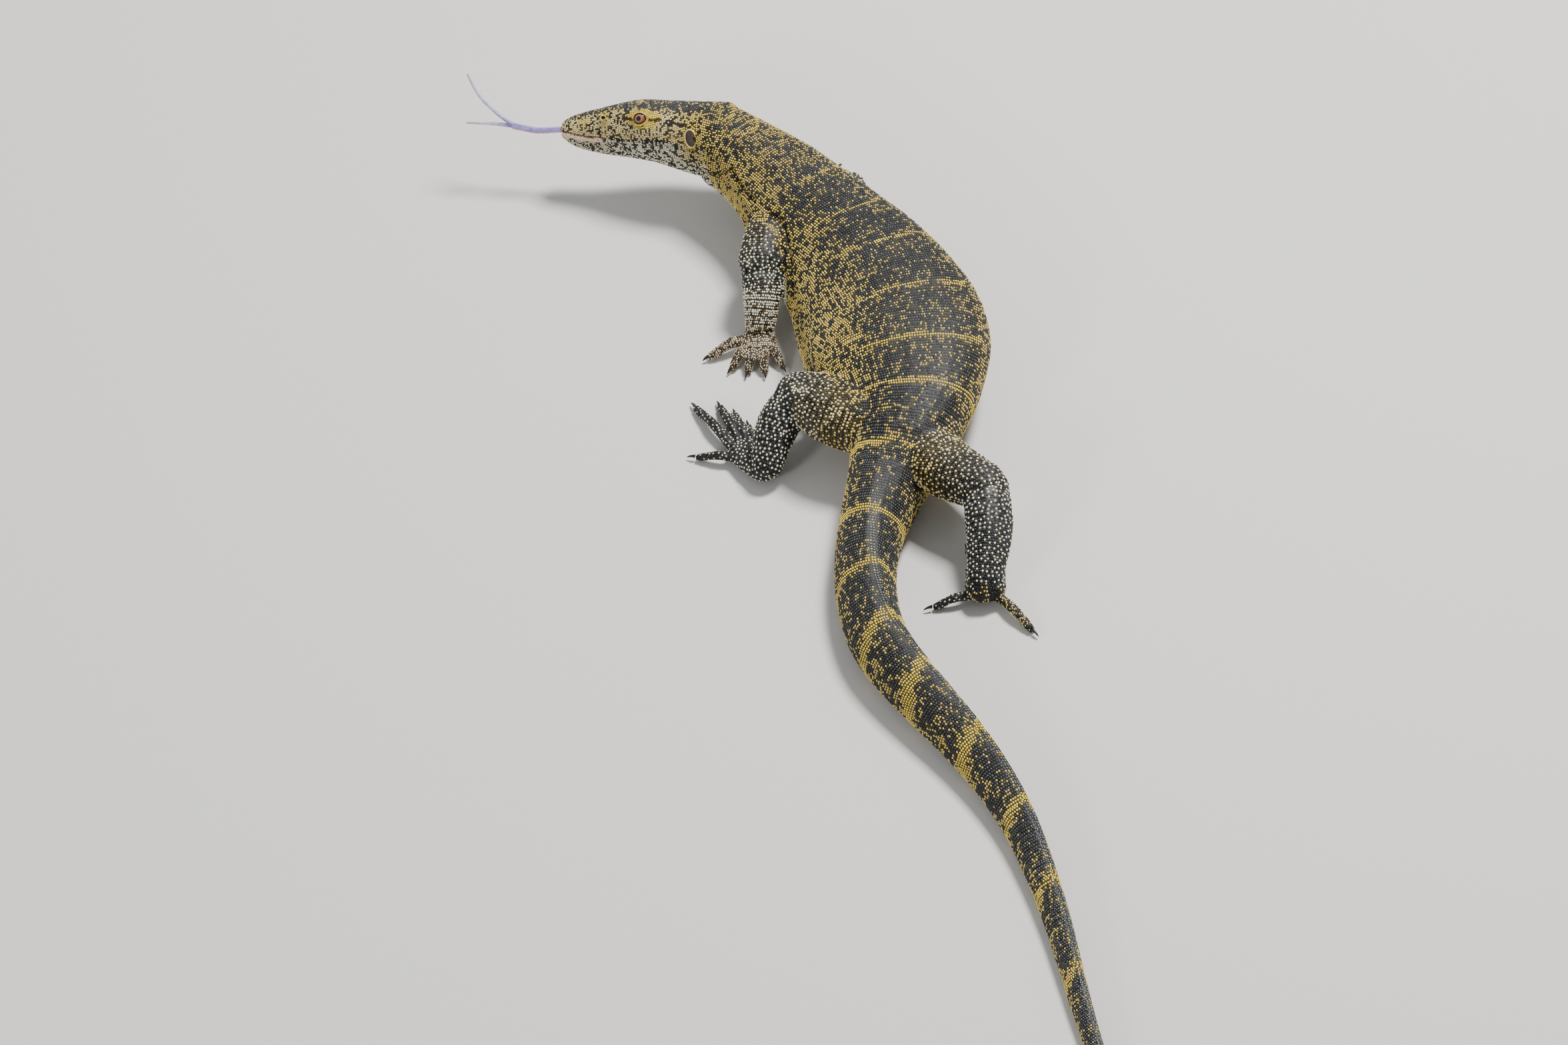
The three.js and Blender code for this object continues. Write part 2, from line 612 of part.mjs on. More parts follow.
// Tongue: a flat ribbon out of the mouth that forks into two thin tines.
function tongueSolid(grow) {
  const root = headPoint(7, 0, 1.3);
  const lip = headPoint(-3, 0, 1.6);
  const fork = headPoint(-35, 0.8, 4.8);
  const ribbon = (points, from, to, flat, steps) => {
    const line = curveOf(points);
    const rings = [];
    for (let i = 0; i <= steps; i++) {
      const t = i / steps;
      const half = mixed(from, to, t);
      const side = new THREE.Vector3().crossVectors(line.getTangent(t), rolledUp).normalize();
      const up = new THREE.Vector3().crossVectors(side, line.getTangent(t)).normalize();
      const shape = (angle) => [
        (half + grow) * Math.cos(angle),
        (half * flat + grow) * Math.sin(angle),
      ];
      rings.push(ring(line.getPoint(t), side, up, 6, shape));
    }
    const first = line.getPoint(0).addScaledVector(line.getTangent(0), -grow);
    return loft(rings, first, line.getPoint(1));
  };
  const stem = ribbon([root, lip, headPoint(-18, 0.2, 1), fork], 2.2, 2.4, 0.95, 6);
  const lowTine = [
    headPoint(-32, 0.7, 4),
    headPoint(-43, 1.5, 6),
    headPoint(-55, 2.2, 7.1),
    headPoint(-67.5, 3, 8),
  ];
  const highTine = [
    headPoint(-32, 0.7, 4.2),
    headPoint(-41, 0.7, 9.8),
    headPoint(-54, -1, 21.5),
    headPoint(-60, -2, 30),
    headPoint(-64.5, -3, 41),
  ];
  return joined([stem, ribbon(lowTine, 1.7, 1, 0.9, 5), ribbon(highTine, 1.7, 1, 0.9, 6)]);
}

// Assembly
const group = new THREE.Group();

function addNode(name, solid, colour, roughness = 0.6) {
  const material = new THREE.MeshStandardMaterial({ color: colour, roughness, metalness: 0 });
  const mesh = new THREE.Mesh(geometryFrom(solid), material);
  mesh.name = name;
  group.add(mesh);
}

const bodyGrown = divisions.map((d) => bodyPart(d, GAP));
const belowFloor = floorBlock(0);

divisions.forEach((d) => {
  addNode(d.name, bodyPart(d, 0), d.name === "neck" ? COLOURS.flank : COLOURS.back);
});

addNode("head", headSolid(tongueSolid(GAP), bodyGrown[0]), COLOURS.head);
addNode("eye_left", eyeSolid(1), COLOURS.eye, 0.15);
addNode("eye_right", eyeSolid(-1), COLOURS.eye, 0.15);
addNode("tongue", tongueSolid(0), COLOURS.tongue, 0.35);

legs.forEach((leg) => {
  const hint = vec(leg.hint).normalize();
  const upper = (grow) => limbTube(leg.upper, 7, SIZES.limbSides, grow, hint);
  const lower = (grow) => limbTube(leg.lower, 7, SIZES.limbSides, grow, hint);
  const palm = () => limbTube(leg.palm, 4, SIZES.limbSides, 0, hint);
  const toes = leg.toes.map((toe) => toeSolid(toe));
  const upperSolid = largestBody(cutBy(upper(0), [...bodyGrown, belowFloor]));
  const lowerSolid = largestBody(cutBy(lower(0), [...bodyGrown, upper(GAP), belowFloor]));
  const footSolid = cutBy(joined([palm(), ...toes]), [...bodyGrown, lower(GAP), upper(GAP), belowFloor]);
  addNode(leg.name + "_upper", upperSolid, leg.colour);
  addNode(leg.name + "_lower", lowerSolid, leg.colour);
  addNode(leg.name + "_foot", largestBody(footSolid), leg.colour);
  leg.toes.forEach((toe, i) => {
    const grownToe = toeSolid({ ...toe, half: toe.half + GAP });
    const claw = largestBody(cutBy(clawSolid(toe, leg.clawLength), [grownToe, floorBlock(0.6)]));
    addNode(leg.name + "_claw_" + (i + 1), claw, COLOURS.claw, 0.3);
  });
});

export default group;
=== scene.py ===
"""Nile monitor lizard, life size: its skin, scales, eyes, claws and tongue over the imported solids."""

import logging
import math
from dataclasses import dataclass, field
from enum import Enum
from typing import Callable, Sequence

import bpy
import numpy as np
from mathutils import Matrix, Vector
from mathutils.bvhtree import BVHTree
from mathutils.kdtree import KDTree


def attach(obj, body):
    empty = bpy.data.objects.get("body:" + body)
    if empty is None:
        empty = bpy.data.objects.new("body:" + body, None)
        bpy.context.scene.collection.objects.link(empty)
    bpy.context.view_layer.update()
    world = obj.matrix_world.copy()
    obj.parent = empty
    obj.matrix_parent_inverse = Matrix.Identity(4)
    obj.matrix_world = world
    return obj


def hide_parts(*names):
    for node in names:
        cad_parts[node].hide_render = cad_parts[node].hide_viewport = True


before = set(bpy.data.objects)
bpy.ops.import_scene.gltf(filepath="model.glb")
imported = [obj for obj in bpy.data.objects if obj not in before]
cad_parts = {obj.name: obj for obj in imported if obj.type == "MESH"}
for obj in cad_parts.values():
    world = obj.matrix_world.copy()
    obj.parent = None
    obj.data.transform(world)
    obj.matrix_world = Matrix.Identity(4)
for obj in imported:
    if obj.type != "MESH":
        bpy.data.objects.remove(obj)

LOG = logging.getLogger("monitor")
MM = 0.001
BODY = "root"
TINT = "Tint"
BAKE_MAP = "OFBake"
BAKE_PATCH = 0.0029
SIDES = (("left", 1.0), ("right", -1.0))
LEGS = ("front_left", "front_right", "hind_left", "hind_right")

# Turns once round the body or the head, from below
ROUND = np.linspace(-math.pi / 2, 1.5 * math.pi, 181)

# Where the pieces of the body's coat begin and end, in millimetres along its line
LENGTHS = (0, 120, 230, 330, 480, 700, 1190)

# The least height of a scale's root, and of its edge, over the floor
ROOT_HEIGHT = 0.3
EDGE_HEIGHT = 0.02

# Places, the direction to the tail at each, and the length and width of a scale there
Rows = tuple[np.ndarray, np.ndarray, np.ndarray]
Law = Callable[[float], float]


class Slot(Enum):
    """The record's material slots."""

    SKIN = "skin"
    CLAW = "claw"
    EYE = "eye"
    TONGUE = "tongue"


class Rank(Enum):
    """Which scales give way where two meet: the one with the higher number."""

    RAISED = 0
    LIP = 1
    HEAD = 2
    BODY = 3
    TOE = 4
    LIMB = 5
    FILLER = 9


# Numbers and small helpers


def unit(rows: np.ndarray) -> np.ndarray:
    """Scales each row to length one."""
    return rows / np.maximum(np.linalg.norm(rows, axis=-1, keepdims=True), 1e-9)


def bell(value: np.ndarray | float, middle: float, spread: float) -> np.ndarray:
    """A smooth bump of height one at its middle."""
    return np.exp(-(((value - middle) / spread) ** 2))


def ease(value: np.ndarray | float, low: float, high: float) -> np.ndarray:
    """A smooth step from 0 at low to 1 at high."""
    share = np.clip((np.asarray(value, float) - low) / (high - low), 0.0, 1.0)
    return share * share * (3.0 - 2.0 * share)


def paint(red: float, green: float, blue: float) -> np.ndarray:
    """Makes a colour given in numbers up to 255 linear."""
    share = np.array([red, green, blue], float) / 255.0
    return np.where(share <= 0.04045, share / 12.92, ((share + 0.055) / 1.055) ** 2.4)


def blend(first: np.ndarray, second: np.ndarray, share: np.ndarray) -> np.ndarray:
    """Mixes two colours, or rows of colours, by one share for each row."""
    part = np.clip(share, 0.0, 1.0)[:, None]
    return first * (1.0 - part) + second * part


def dice(lattice: np.ndarray, seed: float) -> np.ndarray:
    """A steady random number from 0 to 1 for each row of three whole numbers."""
    value = np.sin(lattice @ np.array([127.1, 311.7, 74.7]) + seed * 17.3) * 43758.5453
    return value - np.floor(value)


def cloud(points: np.ndarray, size: float, seed: float) -> np.ndarray:
    """Soft random blotches in space.

    Args:
        points: Places, one a row.
        size: About how far apart the blotches are, in the points' unit.
        seed: Which set of blotches is drawn.

    Returns:
        A number from 0 to 1 at each place.
    """
    spot = points / size
    low = np.floor(spot)
    share = spot - low
    share = share * share * (3.0 - 2.0 * share)
    total = np.zeros(len(points))
    for corner in range(8):
        step = np.array([corner & 1, corner >> 1 & 1, corner >> 2 & 1], float)
        weight = np.prod(np.where(step > 0, share, 1.0 - share), axis=1)
        total += weight * dice(low + step, seed)
    return total


def smooth_line(stations: np.ndarray, count: int) -> np.ndarray:
    """Runs a smooth curve through rows of numbers.

    Args:
        stations: The rows that it passes through.
        count: How many rows come back.

    Returns:
        Evenly stepped rows from the first station to the last.
    """
    ends = np.vstack([2 * stations[0] - stations[1], stations, 2 * stations[-1] - stations[-2]])
    spans = len(stations) - 1
    reach = np.linspace(0.0, spans, count)
    index = np.minimum(reach.astype(int), spans - 1)
    t = (reach - index)[:, None]
    a, b, c, d = (ends[index + k] for k in range(4))
    return 0.5 * (2 * b + (c - a) * t + (2 * a - 5 * b + 4 * c - d) * t**2 + (3 * b - a - 3 * c + d) * t**3)


def way_along(line: np.ndarray) -> np.ndarray:
    """The way along a line to each of its places."""
    return np.concatenate([[0.0], np.cumsum(np.linalg.norm(np.diff(line, axis=0), axis=1))])


def step_round(outline: np.ndarray, pitch: float, least: int, odd: float) -> tuple[np.ndarray, float]:
    """Sets places at even steps along an outline.

    Args:
        outline: The outline's own places, in order.
        pitch: About how far apart the new places are.
        least: The fewest of them.
        odd: By what share of a step they are moved on.

    Returns:
        The places, and the step between them.
    """
    way = way_along(outline)
    count = max(least, round(way[-1] / pitch))
    spots = (np.arange(count) + odd) / count * way[-1]
    return np.stack([np.interp(spots, way, outline[:, k]) for k in range(3)], axis=1), way[-1] / count


def signed_power(value: np.ndarray, power: float) -> np.ndarray:
    """The value's size raised to a power, with its sign kept."""
    return np.sign(value) * np.abs(value) ** power


def ranked(values: np.ndarray) -> np.ndarray:
    """Spreads values evenly from 0 to 1, in their own order."""
    return values.argsort().argsort() / max(1, len(values))


def plant(points: np.ndarray) -> KDTree:
    """Makes a tree that finds the places nearest to another."""
    tree = KDTree(len(points))
    for index, point in enumerate(points):
        tree.insert(point, index)
    tree.balance()
    return tree


def apart(points: np.ndarray, room: np.ndarray, rng: np.random.Generator) -> np.ndarray:
    """Picks places at random that stand well apart from each other.

    Args:
        points: Places, one a row.
        room: The least distance from each place to a picked one.
        rng: The random numbers.

    Returns:
        True for each place that is picked.
    """
    tree = plant(points)
    picked = np.zeros(len(points), bool)
    for index in rng.permutation(len(points)):
        near = tree.find_range(points[index], room[index])
        picked[index] = not any(picked[other] for _, other, _ in near)
    return picked


def line_gap(points: np.ndarray, line: Sequence[Sequence[float]]) -> np.ndarray:
    """The distance from each place to a line through some stations.

    Args:
        points: Places, one a row.
        line: The line's stations.

    Returns:
        One distance for each place.
    """
    far_off, reach = 1e9, 90
    gap = np.full(len(points), far_off)
    near = np.linalg.norm(points - np.mean(line, axis=0), axis=1) < reach
    track = smooth_line(np.array(line, float), 60)
    gap[near] = np.sqrt(((points[near][:, None, :] - track[None, :, :]) ** 2).sum(2)).min(1)
    return gap


# The forms that the coat follows, in millimetres, in the frame of the solids


@dataclass
class Spine:
    """The line of neck, trunk and tail, with the size and turn of the body along it."""

    trunk: tuple[tuple[float, ...], ...] = (
        (-104, 228, 51, 20, 20, 33, 0, 16),
        (-79, 216, 51, 23, 22.5, 37, 0, 12),
        (-59, 190, 48, 26.5, 24, 36, 0.05, 7),
        (-43, 162, 45, 32, 26, 34, 0.17, 6),
        (-31, 132, 41, 38, 30, 36, 0.26, 6),
        (-17.5, 100, 39, 39.5, 33, 42, 0.37, 8),
        (-4, 66, 38, 45.5, 35, 44, 0.4, 9),
        (5, 30, 37.5, 53.5, 36, 45, 0.42, 9),
        (11, -6, 37, 59, 37, 45, 0.35, 9),
        (11, -42, 36.5, 57, 36, 44, 0.35, 8),
        (8, -76, 35, 47, 34, 41, 0.3, 7),
        (-1, -106, 32, 36, 31, 36, 0.2, 6),
    )
    tail: tuple[tuple[float, ...], ...] = (
        (-15, -134, 8),
        (-29, -166, 12),
        (-40, -202, 18),
        (-45, -240, 24),
        (-43, -278, 30),
        (-32, -315, 33),
        (-17, -352, 34),
        (-2, -389, 34),
        (11, -428, 34),
        (21, -470, 33),
        (27, -515, 32),
        (31, -562, 30),
        (33, -610, 28),
        (35, -660, 26),
        (39, -710, 24),
        (47, -758, 22),
        (58, -804, 20),
        (72, -848, 18),
        (88, -890, 16),
    )
    tail_half: tuple[float, float] = (27.5, 1.7)
    tail_tall: tuple[float, float] = (27.0, 2.04)
    tail_swell: float = 1.5
    keel: float = 3.2
    samples: int = 1400
    table: np.ndarray = field(init=False)

    def __post_init__(self) -> None:
        """Works out the body's centre, directions and sizes at close steps."""
        rows = [list(row) + [0.0] for row in self.trunk]
        last = len(self.tail) - 1
        for index, (x, y, roll) in enumerate(self.tail):
            t = index / last
            (thick, thin), (high, low) = self.tail_half, self.tail_tall
            half = thick + (thin - thick) * t**0.62 + self.tail_swell * float(bell(t, 0.3, 0.14))
            tall = high + (low - high) * t**0.8 + self.tail_swell * float(bell(t, 0.28, 0.16))
            lean = math.radians(roll)
            keel = self.keel * max(0.0, math.sin(math.pi * min(1.0, 1.1 * t))) ** 0.7
            height = 0.93 * math.hypot(tall * math.cos(lean), half * math.sin(lean))
            rows.append([x, y, height, half, tall, tall, 0.0, roll, keel])
        self.table = smooth_line(np.array(rows, float), self.samples)
        self.centre = self.table[:, :3]
        self.along = unit(np.gradient(self.centre, axis=0))
        self.length = way_along(self.centre)
        level = self.along.copy()
        level[:, 2] = 0.0
        level = unit(level)
        right = np.stack([-level[:, 1], level[:, 0], np.zeros(len(level))], axis=1)
        up = unit(np.cross(right, self.along))
        up[up[:, 2] < 0] *= -1
        turn = np.radians(self.table[:, 7])[:, None]
        self.side = right * np.cos(turn) - up * np.sin(turn)
        self.top = up * np.cos(turn) + right * np.sin(turn)

    def ring(self, index: int, angles: np.ndarray) -> np.ndarray:
        """The body's outline across its line at one sample.

        Args:
            index: Which sample of the line.
            angles: Turns from the right side, up being a quarter turn.

        Returns:
            One place for each angle.
        """
        half, above, below, lean, _, keel = self.table[index, 3:]
        rise, wide = np.sin(angles), np.cos(angles)
        height = np.where(rise > 0, above * np.abs(rise) ** 0.94, -below * np.abs(rise) ** 0.8)
        across = half * signed_power(wide, 0.92) + lean * height
        height = height + keel * np.maximum(0.0, rise) ** 14
        place = self.centre[index] + across[:, None] * self.side[index]
        place = place + height[:, None] * self.top[index]
        place[:, 2] = np.maximum(place[:, 2], 0.0)
        return place

    def locate(self, points: np.ndarray) -> tuple[np.ndarray, np.ndarray, np.ndarray]:
        """Finds where places lie along and round the body.

        Args:
            points: Places near the body.

        Returns:
            The distance along the line, the turn from the back's middle line
            with the right side positive, and the distance from that line.
        """
        every, batch = 4, 20000
        coarse = np.arange(0, self.samples, every)
        centre = self.centre[coarse]
        found = np.empty(len(points), int)
        for start in range(0, len(points), batch):
            part = points[start : start + batch]
            gap = (centre**2).sum(1)[None, :] - 2.0 * part @ centre.T
            found[start : start + batch] = coarse[gap.argmin(axis=1)]
        offset = points - self.centre[found]
        along = self.length[found] + (offset * self.along[found]).sum(1)
        across = (offset * self.side[found]).sum(1)
        height = (offset * self.top[found]).sum(1)
        half, above, _, lean = self.table[found, 3:7].T
        angle = np.arctan2((across - lean * height) / half, height / above)
        crest = np.hypot(across - lean * above, height - above)
        return along, angle, np.sign(angle) * crest

    def rows(self, start: float, end: float, step: Law, pitch: Law) -> Rows:
        """Places in rows across the body, each row set between those of the last.

        Args:
            start: Where the first row is, along the line.
            end: Where the rows stop.
            step: The distance between rows, by the distance along.
            pitch: The distance between places in a row.

        Returns:
            Places, directions and sizes.
        """
        places, lies, sizes = [], [], []
        reach, odd = start, 0.0
        while reach < end:
            index = min(int(np.searchsorted(self.length, reach)), self.samples - 1)
            row, gap = step_round(self.ring(index, ROUND), pitch(reach), 6, odd)
            places.append(row)
            lies.append(np.repeat(self.along[index][None, :], len(row), axis=0))
            sizes.append(np.repeat([[step(reach), gap]], len(row), axis=0))
            reach += step(reach)
            odd = 0.5 - odd
        return np.vstack(places), np.vstack(lies), np.vstack(sizes)


@dataclass
class Tube:
    """A limb or a toe: a line with its width and depth along it."""

    stations: Sequence[Sequence[float]]
    hint: Sequence[float]
    samples: int = 160

    def __post_init__(self) -> None:
        """Works out the line's centre, directions and sizes at close steps."""
        table = smooth_line(np.array(self.stations, float), self.samples)
        self.centre = table[:, :3]
        self.wide = table[:, 3]
        self.deep = table[:, 4]
        self.along = unit(np.gradient(self.centre, axis=0))
        self.length = way_along(self.centre)
        self.side = unit(np.cross(self.along, np.array(self.hint, float)))
        self.top = np.cross(self.side, self.along)

    def locate(self, points: np.ndarray) -> tuple[np.ndarray, np.ndarray, np.ndarray]:
        """Finds where places lie along and round the line.

        Args:
            points: Places near the limb.

        Returns:
            The distance along, the turn round the line, and how far each
            place is from the line in shares of the limb's own size.
        """
        gap = (self.centre**2).sum(1)[None, :] - 2.0 * points @ self.centre.T
        found = gap.argmin(axis=1)
        offset = points - self.centre[found]
        across = (offset * self.side[found]).sum(1) / self.wide[found]
        height = (offset * self.top[found]).sum(1) / self.deep[found]
        ahead = (offset * self.along[found]).sum(1)
        share = np.sqrt(across**2 + height**2 + (ahead / self.wide[found]) ** 2)
        return self.length[found] + ahead, np.arctan2(across, height), share

    def rows(self, step: float, pitch: float, grow: float) -> Rows:
        """Places in rows round the line.

        Args:
            step: The distance between rows at the start of the line.
            pitch: The distance between places in a row there.
            grow: What both are multiplied by at the end of the line.

        Returns:
            Places, directions and sizes.
        """
        places, lies, sizes = [], [], []
        reach, odd = 0.0, 0.0
        turns = np.linspace(0, 2 * math.pi, 97)
        total = self.length[-1]
        while reach < total + 1.0:
            index = min(int(np.searchsorted(self.length, reach)), self.samples - 1)
            scale = 1.0 + (grow - 1.0) * min(1.0, reach / total)
            outline = (
                self.centre[index]
                + np.cos(turns)[:, None] * self.wide[index] * self.side[index]
                + np.sin(turns)[:, None] * self.deep[index] * self.top[index]
            )
            outline[:, 2] = np.maximum(outline[:, 2], 0.0)
            row, gap = step_round(outline, pitch * scale, 5, odd)
            places.append(row)
            lies.append(np.repeat(self.along[index][None, :], len(row), axis=0))
            sizes.append(np.repeat([[step * scale, gap]], len(row), axis=0))
            reach += step * scale
            odd = 0.5 - odd
        return np.vstack(places), np.vstack(lies), np.vstack(sizes)


@dataclass
class Leg:
    """One leg: its limb from hip or shoulder to palm, and its five toes."""

    name: str
    limb: Tube
    toes: list[Tube]

    @staticmethod
    def toe(root: Sequence[float], tip: Sequence[float], rise: float, half: float) -> Tube:
        """Makes one toe's line.

        Args:
            root: Where it leaves the palm.
            tip: Where the claw grows.
            rise: How far its knuckle is lifted.
            half: Its half width.

        Returns:
            The toe's line.
        """
        start, end = np.array(root, float), np.array(tip, float)
        lift = np.array([0, 0, rise])
        middle = start + (end - start) * 0.45 + lift
        last = start + (end - start) * 0.78 + 0.35 * lift
        sizes = (1.15, 1.05, 0.95, 0.8)
        rows = [[*p, half * s, half * s] for p, s in zip((start, middle, last, end), sizes)]
        return Tube(rows, (0, 0, 1), 60)


@dataclass
class Head:
    """The head's own frame, with its half width and heights along it."""

    tip: tuple[float, float, float] = (-180.4, 262, 43.4)
    axis: tuple[float, float, float] = (-0.915, 0.392, -0.085)
    roll: float = -22.0
    stations: tuple[tuple[float, ...], ...] = (
        (0.6, 4.6, 6.2, 3.6),
        (4.4, 6.9, 9.2, 7),
        (10, 8.2, 11.8, 10.8),
        (20, 9, 14.8, 14),
        (30, 9.9, 17, 16),
        (42, 12.2, 19.8, 17.6),
        (55, 15.4, 21.9, 19.2),
        (68, 18.4, 22, 21.4),
        (82, 20.8, 21.2, 26),
        (97, 21.8, 20.6, 31),
        (109, 22.2, 20.4, 33),
        (124, 22, 20.4, 32),
    )
    eye: tuple[float, float, float] = (63.3, 10.4, 12.3)
    eye_radius: float = 5.5
    lid: tuple[float, float, float] = (63.9, 13.5, 13.7)
    nostril: tuple[float, float, float] = (35, 8.3, 12.8)
    ear: tuple[float, float, float] = (101, 20.8, 2.2)
    ear_size: tuple[float, float] = (3.6, 6.4)
    mouth_end: float = 84.0
    eye_bare: tuple[float, float] = (4.6, 8.5)
    nostril_bare: float = 2.0
    lip_bare: tuple[float, float] = (-2.6, 28.0)
    gum_bare: tuple[float, float, float] = (1.6, 2.4, 70.0)

    def __post_init__(self) -> None:
        """Works out the head's three directions and its close stations."""
        self.forward = unit(np.array(self.axis, float))
        level_left = unit(np.cross(np.array([0, 0, 1.0]), self.forward))
        level_up = np.cross(self.forward, level_left)
        turn = math.radians(self.roll)
        self.left = level_left * math.cos(turn) - level_up * math.sin(turn)
        self.up = level_up * math.cos(turn) + level_left * math.sin(turn)
        self.table = smooth_line(np.array(self.stations, float), 300)

    def place(
        self, back: np.ndarray | float, left: np.ndarray | float, up: np.ndarray | float
    ) -> np.ndarray:
        """Places by how far they are behind the snout, to the left and over the head's line."""
        back, left, up = (np.asarray(v, float)[..., None] for v in (back, left, up))
        return np.array(self.tip) - back * self.forward + left * self.left + up * self.up

    def beside(self, spot: Sequence[float], side: float) -> np.ndarray:
        """A spot given for the left side, placed on side 1 left or -1 right."""
        return self.place(spot[0], spot[1] * side, spot[2])

    def measure(self, points: np.ndarray) -> tuple[np.ndarray, np.ndarray, np.ndarray]:
        """How far places are behind the snout, to the left and over the head's line."""
        offset = points - np.array(self.tip)
        return -offset @ self.forward, offset @ self.left, offset @ self.up

    def mouth_height(self, back: np.ndarray) -> np.ndarray:
        """Height of the line of the mouth over the head's line."""
        return 3.4 * bell(back, 0, 17) + 1.6 * bell(back, 76, 11) - 1.3

    def section(self, back: float, angles: np.ndarray) -> np.ndarray:
        """The head's outline across its line.

        Args:
            back: Distance behind the tip of the snout.
            angles: Turns from the left side, up being a quarter turn.

        Returns:
            One place for each angle.
        """
        half, high, low = (np.interp(back, self.table[:, 0], self.table[:, k]) for k in (1, 2, 3))
        rise, wide = np.sin(angles), np.cos(angles)
        height = np.where(rise > 0, high, low) * signed_power(rise, 0.86)
        # It narrows above and below, and is a little hollow between nostril and eye
        taper = 1 - 0.2 * np.maximum(0, rise) ** 2 - 0.16 * np.maximum(0, -rise) ** 2
        hollow = 1.2 * bell(back, 40, 13) * bell(np.abs(wide), 0.9, 0.2) * np.maximum(0, rise)
        across = (half * taper - hollow) * signed_power(wide, 0.85)
        return self.place(np.full(len(angles), back), across, height)

    def gaze(self, side: float) -> np.ndarray:
        """The direction that an eye looks in, for side 1 left or -1 right."""
        return unit(self.left * side * 0.86 + self.up * 0.46 + self.forward * 0.05)

    def fore(self, axis: np.ndarray) -> np.ndarray:
        """The direction to the snout, made square to an axis."""
        return unit(self.forward - (self.forward @ axis) * axis)

    def bare(self, points: np.ndarray) -> np.ndarray:
        """Tells which places are openings that carry no scales.

        Args:
            points: Places on the skin.

        Returns:
            True where the eye, nostril, ear drum or mouth is.
        """
        back, left, up = self.measure(points)
        empty = np.zeros(len(points), bool)
        for _, side in SIDES:
            gaze = self.gaze(side)
            offset = points - self.beside(self.eye, side)
            off_axis = np.linalg.norm(offset - (offset @ gaze)[:, None] * gaze, axis=1)
            near = np.linalg.norm(offset, axis=1) < self.eye_bare[1]
            empty |= (off_axis < self.eye_bare[0]) & near
            hole = self.beside(self.nostril, side)
            empty |= np.linalg.norm(points - hole, axis=1) < self.nostril_bare
            drum = ((back - self.ear[0]) / self.ear_size[0]) ** 2
            drum += ((up - self.ear[2]) / self.ear_size[1]) ** 2
            empty |= (drum < 1.0) & (left * side > 12) & (left * side < 24)
        # The gap of the mouth, the bare lip under its front and the gums inside
        half = np.interp(back, self.table[:, 0], self.table[:, 1])
        rise = up - self.mouth_height(back)
        gape = np.abs(rise) < np.interp(back, [0, 26, 38, 84], [1.2, 0.9, 0.3, 0.3])
        empty |= gape & (back < self.mouth_end) & (back > -2)
        lip_height, lip_end = self.lip_bare
        empty |= (rise > lip_height) & (rise < 0) & (back < lip_end)
        gum_height, gum_depth, gum_end = self.gum_bare
        empty |= (np.abs(rise) < gum_height) & (np.abs(left) < half - gum_depth) & (back < gum_end)
        return empty


# Each leg: the way its top faces, its limb's stations, and its toes' roots, tips, rise and half width
LIMBS = (
    (
        (0.2, 0.3, 1),
        (
            (-40, 132, 45, 17, 15),
            (-56, 112, 45, 18, 15),
            (-67, 89, 41, 16, 13.5),
            (-71, 71, 28.5, 13, 12),
            (-77, 56, 13, 10.5, 8.5),
            (-80, 43, 6.2, 13.5, 6.4),
        ),
        (
            ((-86, 56, 6), (-114, 50, 2.8), 3.6, 3.7),
            ((-88, 47, 5), (-101, 34, 2.6), 4.4, 3.4),
            ((-84, 41, 5), (-91, 27, 2.6), 4.6, 3.4),
            ((-78, 40, 5), (-79.5, 23, 2.6), 4.4, 3.4),
            ((-72, 46, 5), (-67, 25, 2.5), 3.6, 3.1),
        ),
    ),
    (
        (0.2, -0.3, 1),
        (
            (-16, 128, 38, 14, 14),
            (-5, 147, 35, 14.5, 13),
            (2.5, 163, 27, 12, 11.5),
            (-3, 179, 18, 12, 10),
            (-10, 193, 8.5, 9.5, 7),
            (-15, 205, 5.4, 12, 5.5),
        ),
        (
            ((-20, 201, 4.8), (-40, 205, 2.3), 3.0, 2.7),
            ((-21, 208, 5), (-40, 221, 2.6), 3.6, 3.4),
            ((-18, 211, 5), (-31, 233, 2.6), 3.8, 3.4),
            ((-13, 211, 5), (-18, 229, 2.6), 3.8, 3.4),
            ((-8, 206, 4.8), (-2, 213, 2.4), 3.4, 3.1),
        ),
    ),
    (
        (0, 0, 1),
        (
            (-8, -96, 38, 26, 22),
            (-38, -70, 40, 27, 21),
            (-62, -48, 39.5, 16.5, 15.5),
            (-79, -62, 29, 15.5, 13.5),
            (-92, -81, 12, 11, 8.5),
            (-99, -66, 8, 12, 6.5),
            (-105, -50, 5.6, 13, 5.8),
        ),
        (
            ((-96, -52, 5), (-98, -26, 2.6), 3.0, 3.1),
            ((-101, -46, 5), (-105, -12, 2.6), 3.6, 3.2),
            ((-106, -44, 5), (-114, -1, 2.6), 4.0, 3.3),
            ((-112, -46, 5), (-130, 3, 2.6), 4.0, 3.3),
            ((-108, -60, 5), (-136, -46, 2.6), 3.0, 3.1),
        ),
    ),
    (
        (0, 0, 1),
        (
            (6, -112, 35, 24, 20),
            (25, -146, 36, 21.5, 19),
            (47, -176, 39.5, 16.5, 16),
            (43.5, -208, 30, 16, 14),
            (33, -242, 13, 13, 9.5),
            (34, -230, 8, 14, 7.5),
            (36, -216, 5.6, 14, 5.8),
        ),
        (
            ((26, -240, 5), (-3, -240, 2.6), 3.0, 3.1),
            ((30, -213, 5), (27, -192, 2.6), 3.4, 3.1),
            ((36, -210, 5), (37, -184, 2.6), 3.6, 3.2),
            ((42, -210, 5), (48, -181, 2.6), 3.6, 3.2),
            ((40, -246, 4.8), (57, -282, 2.6), 3.0, 3.4),
        ),
    ),
)


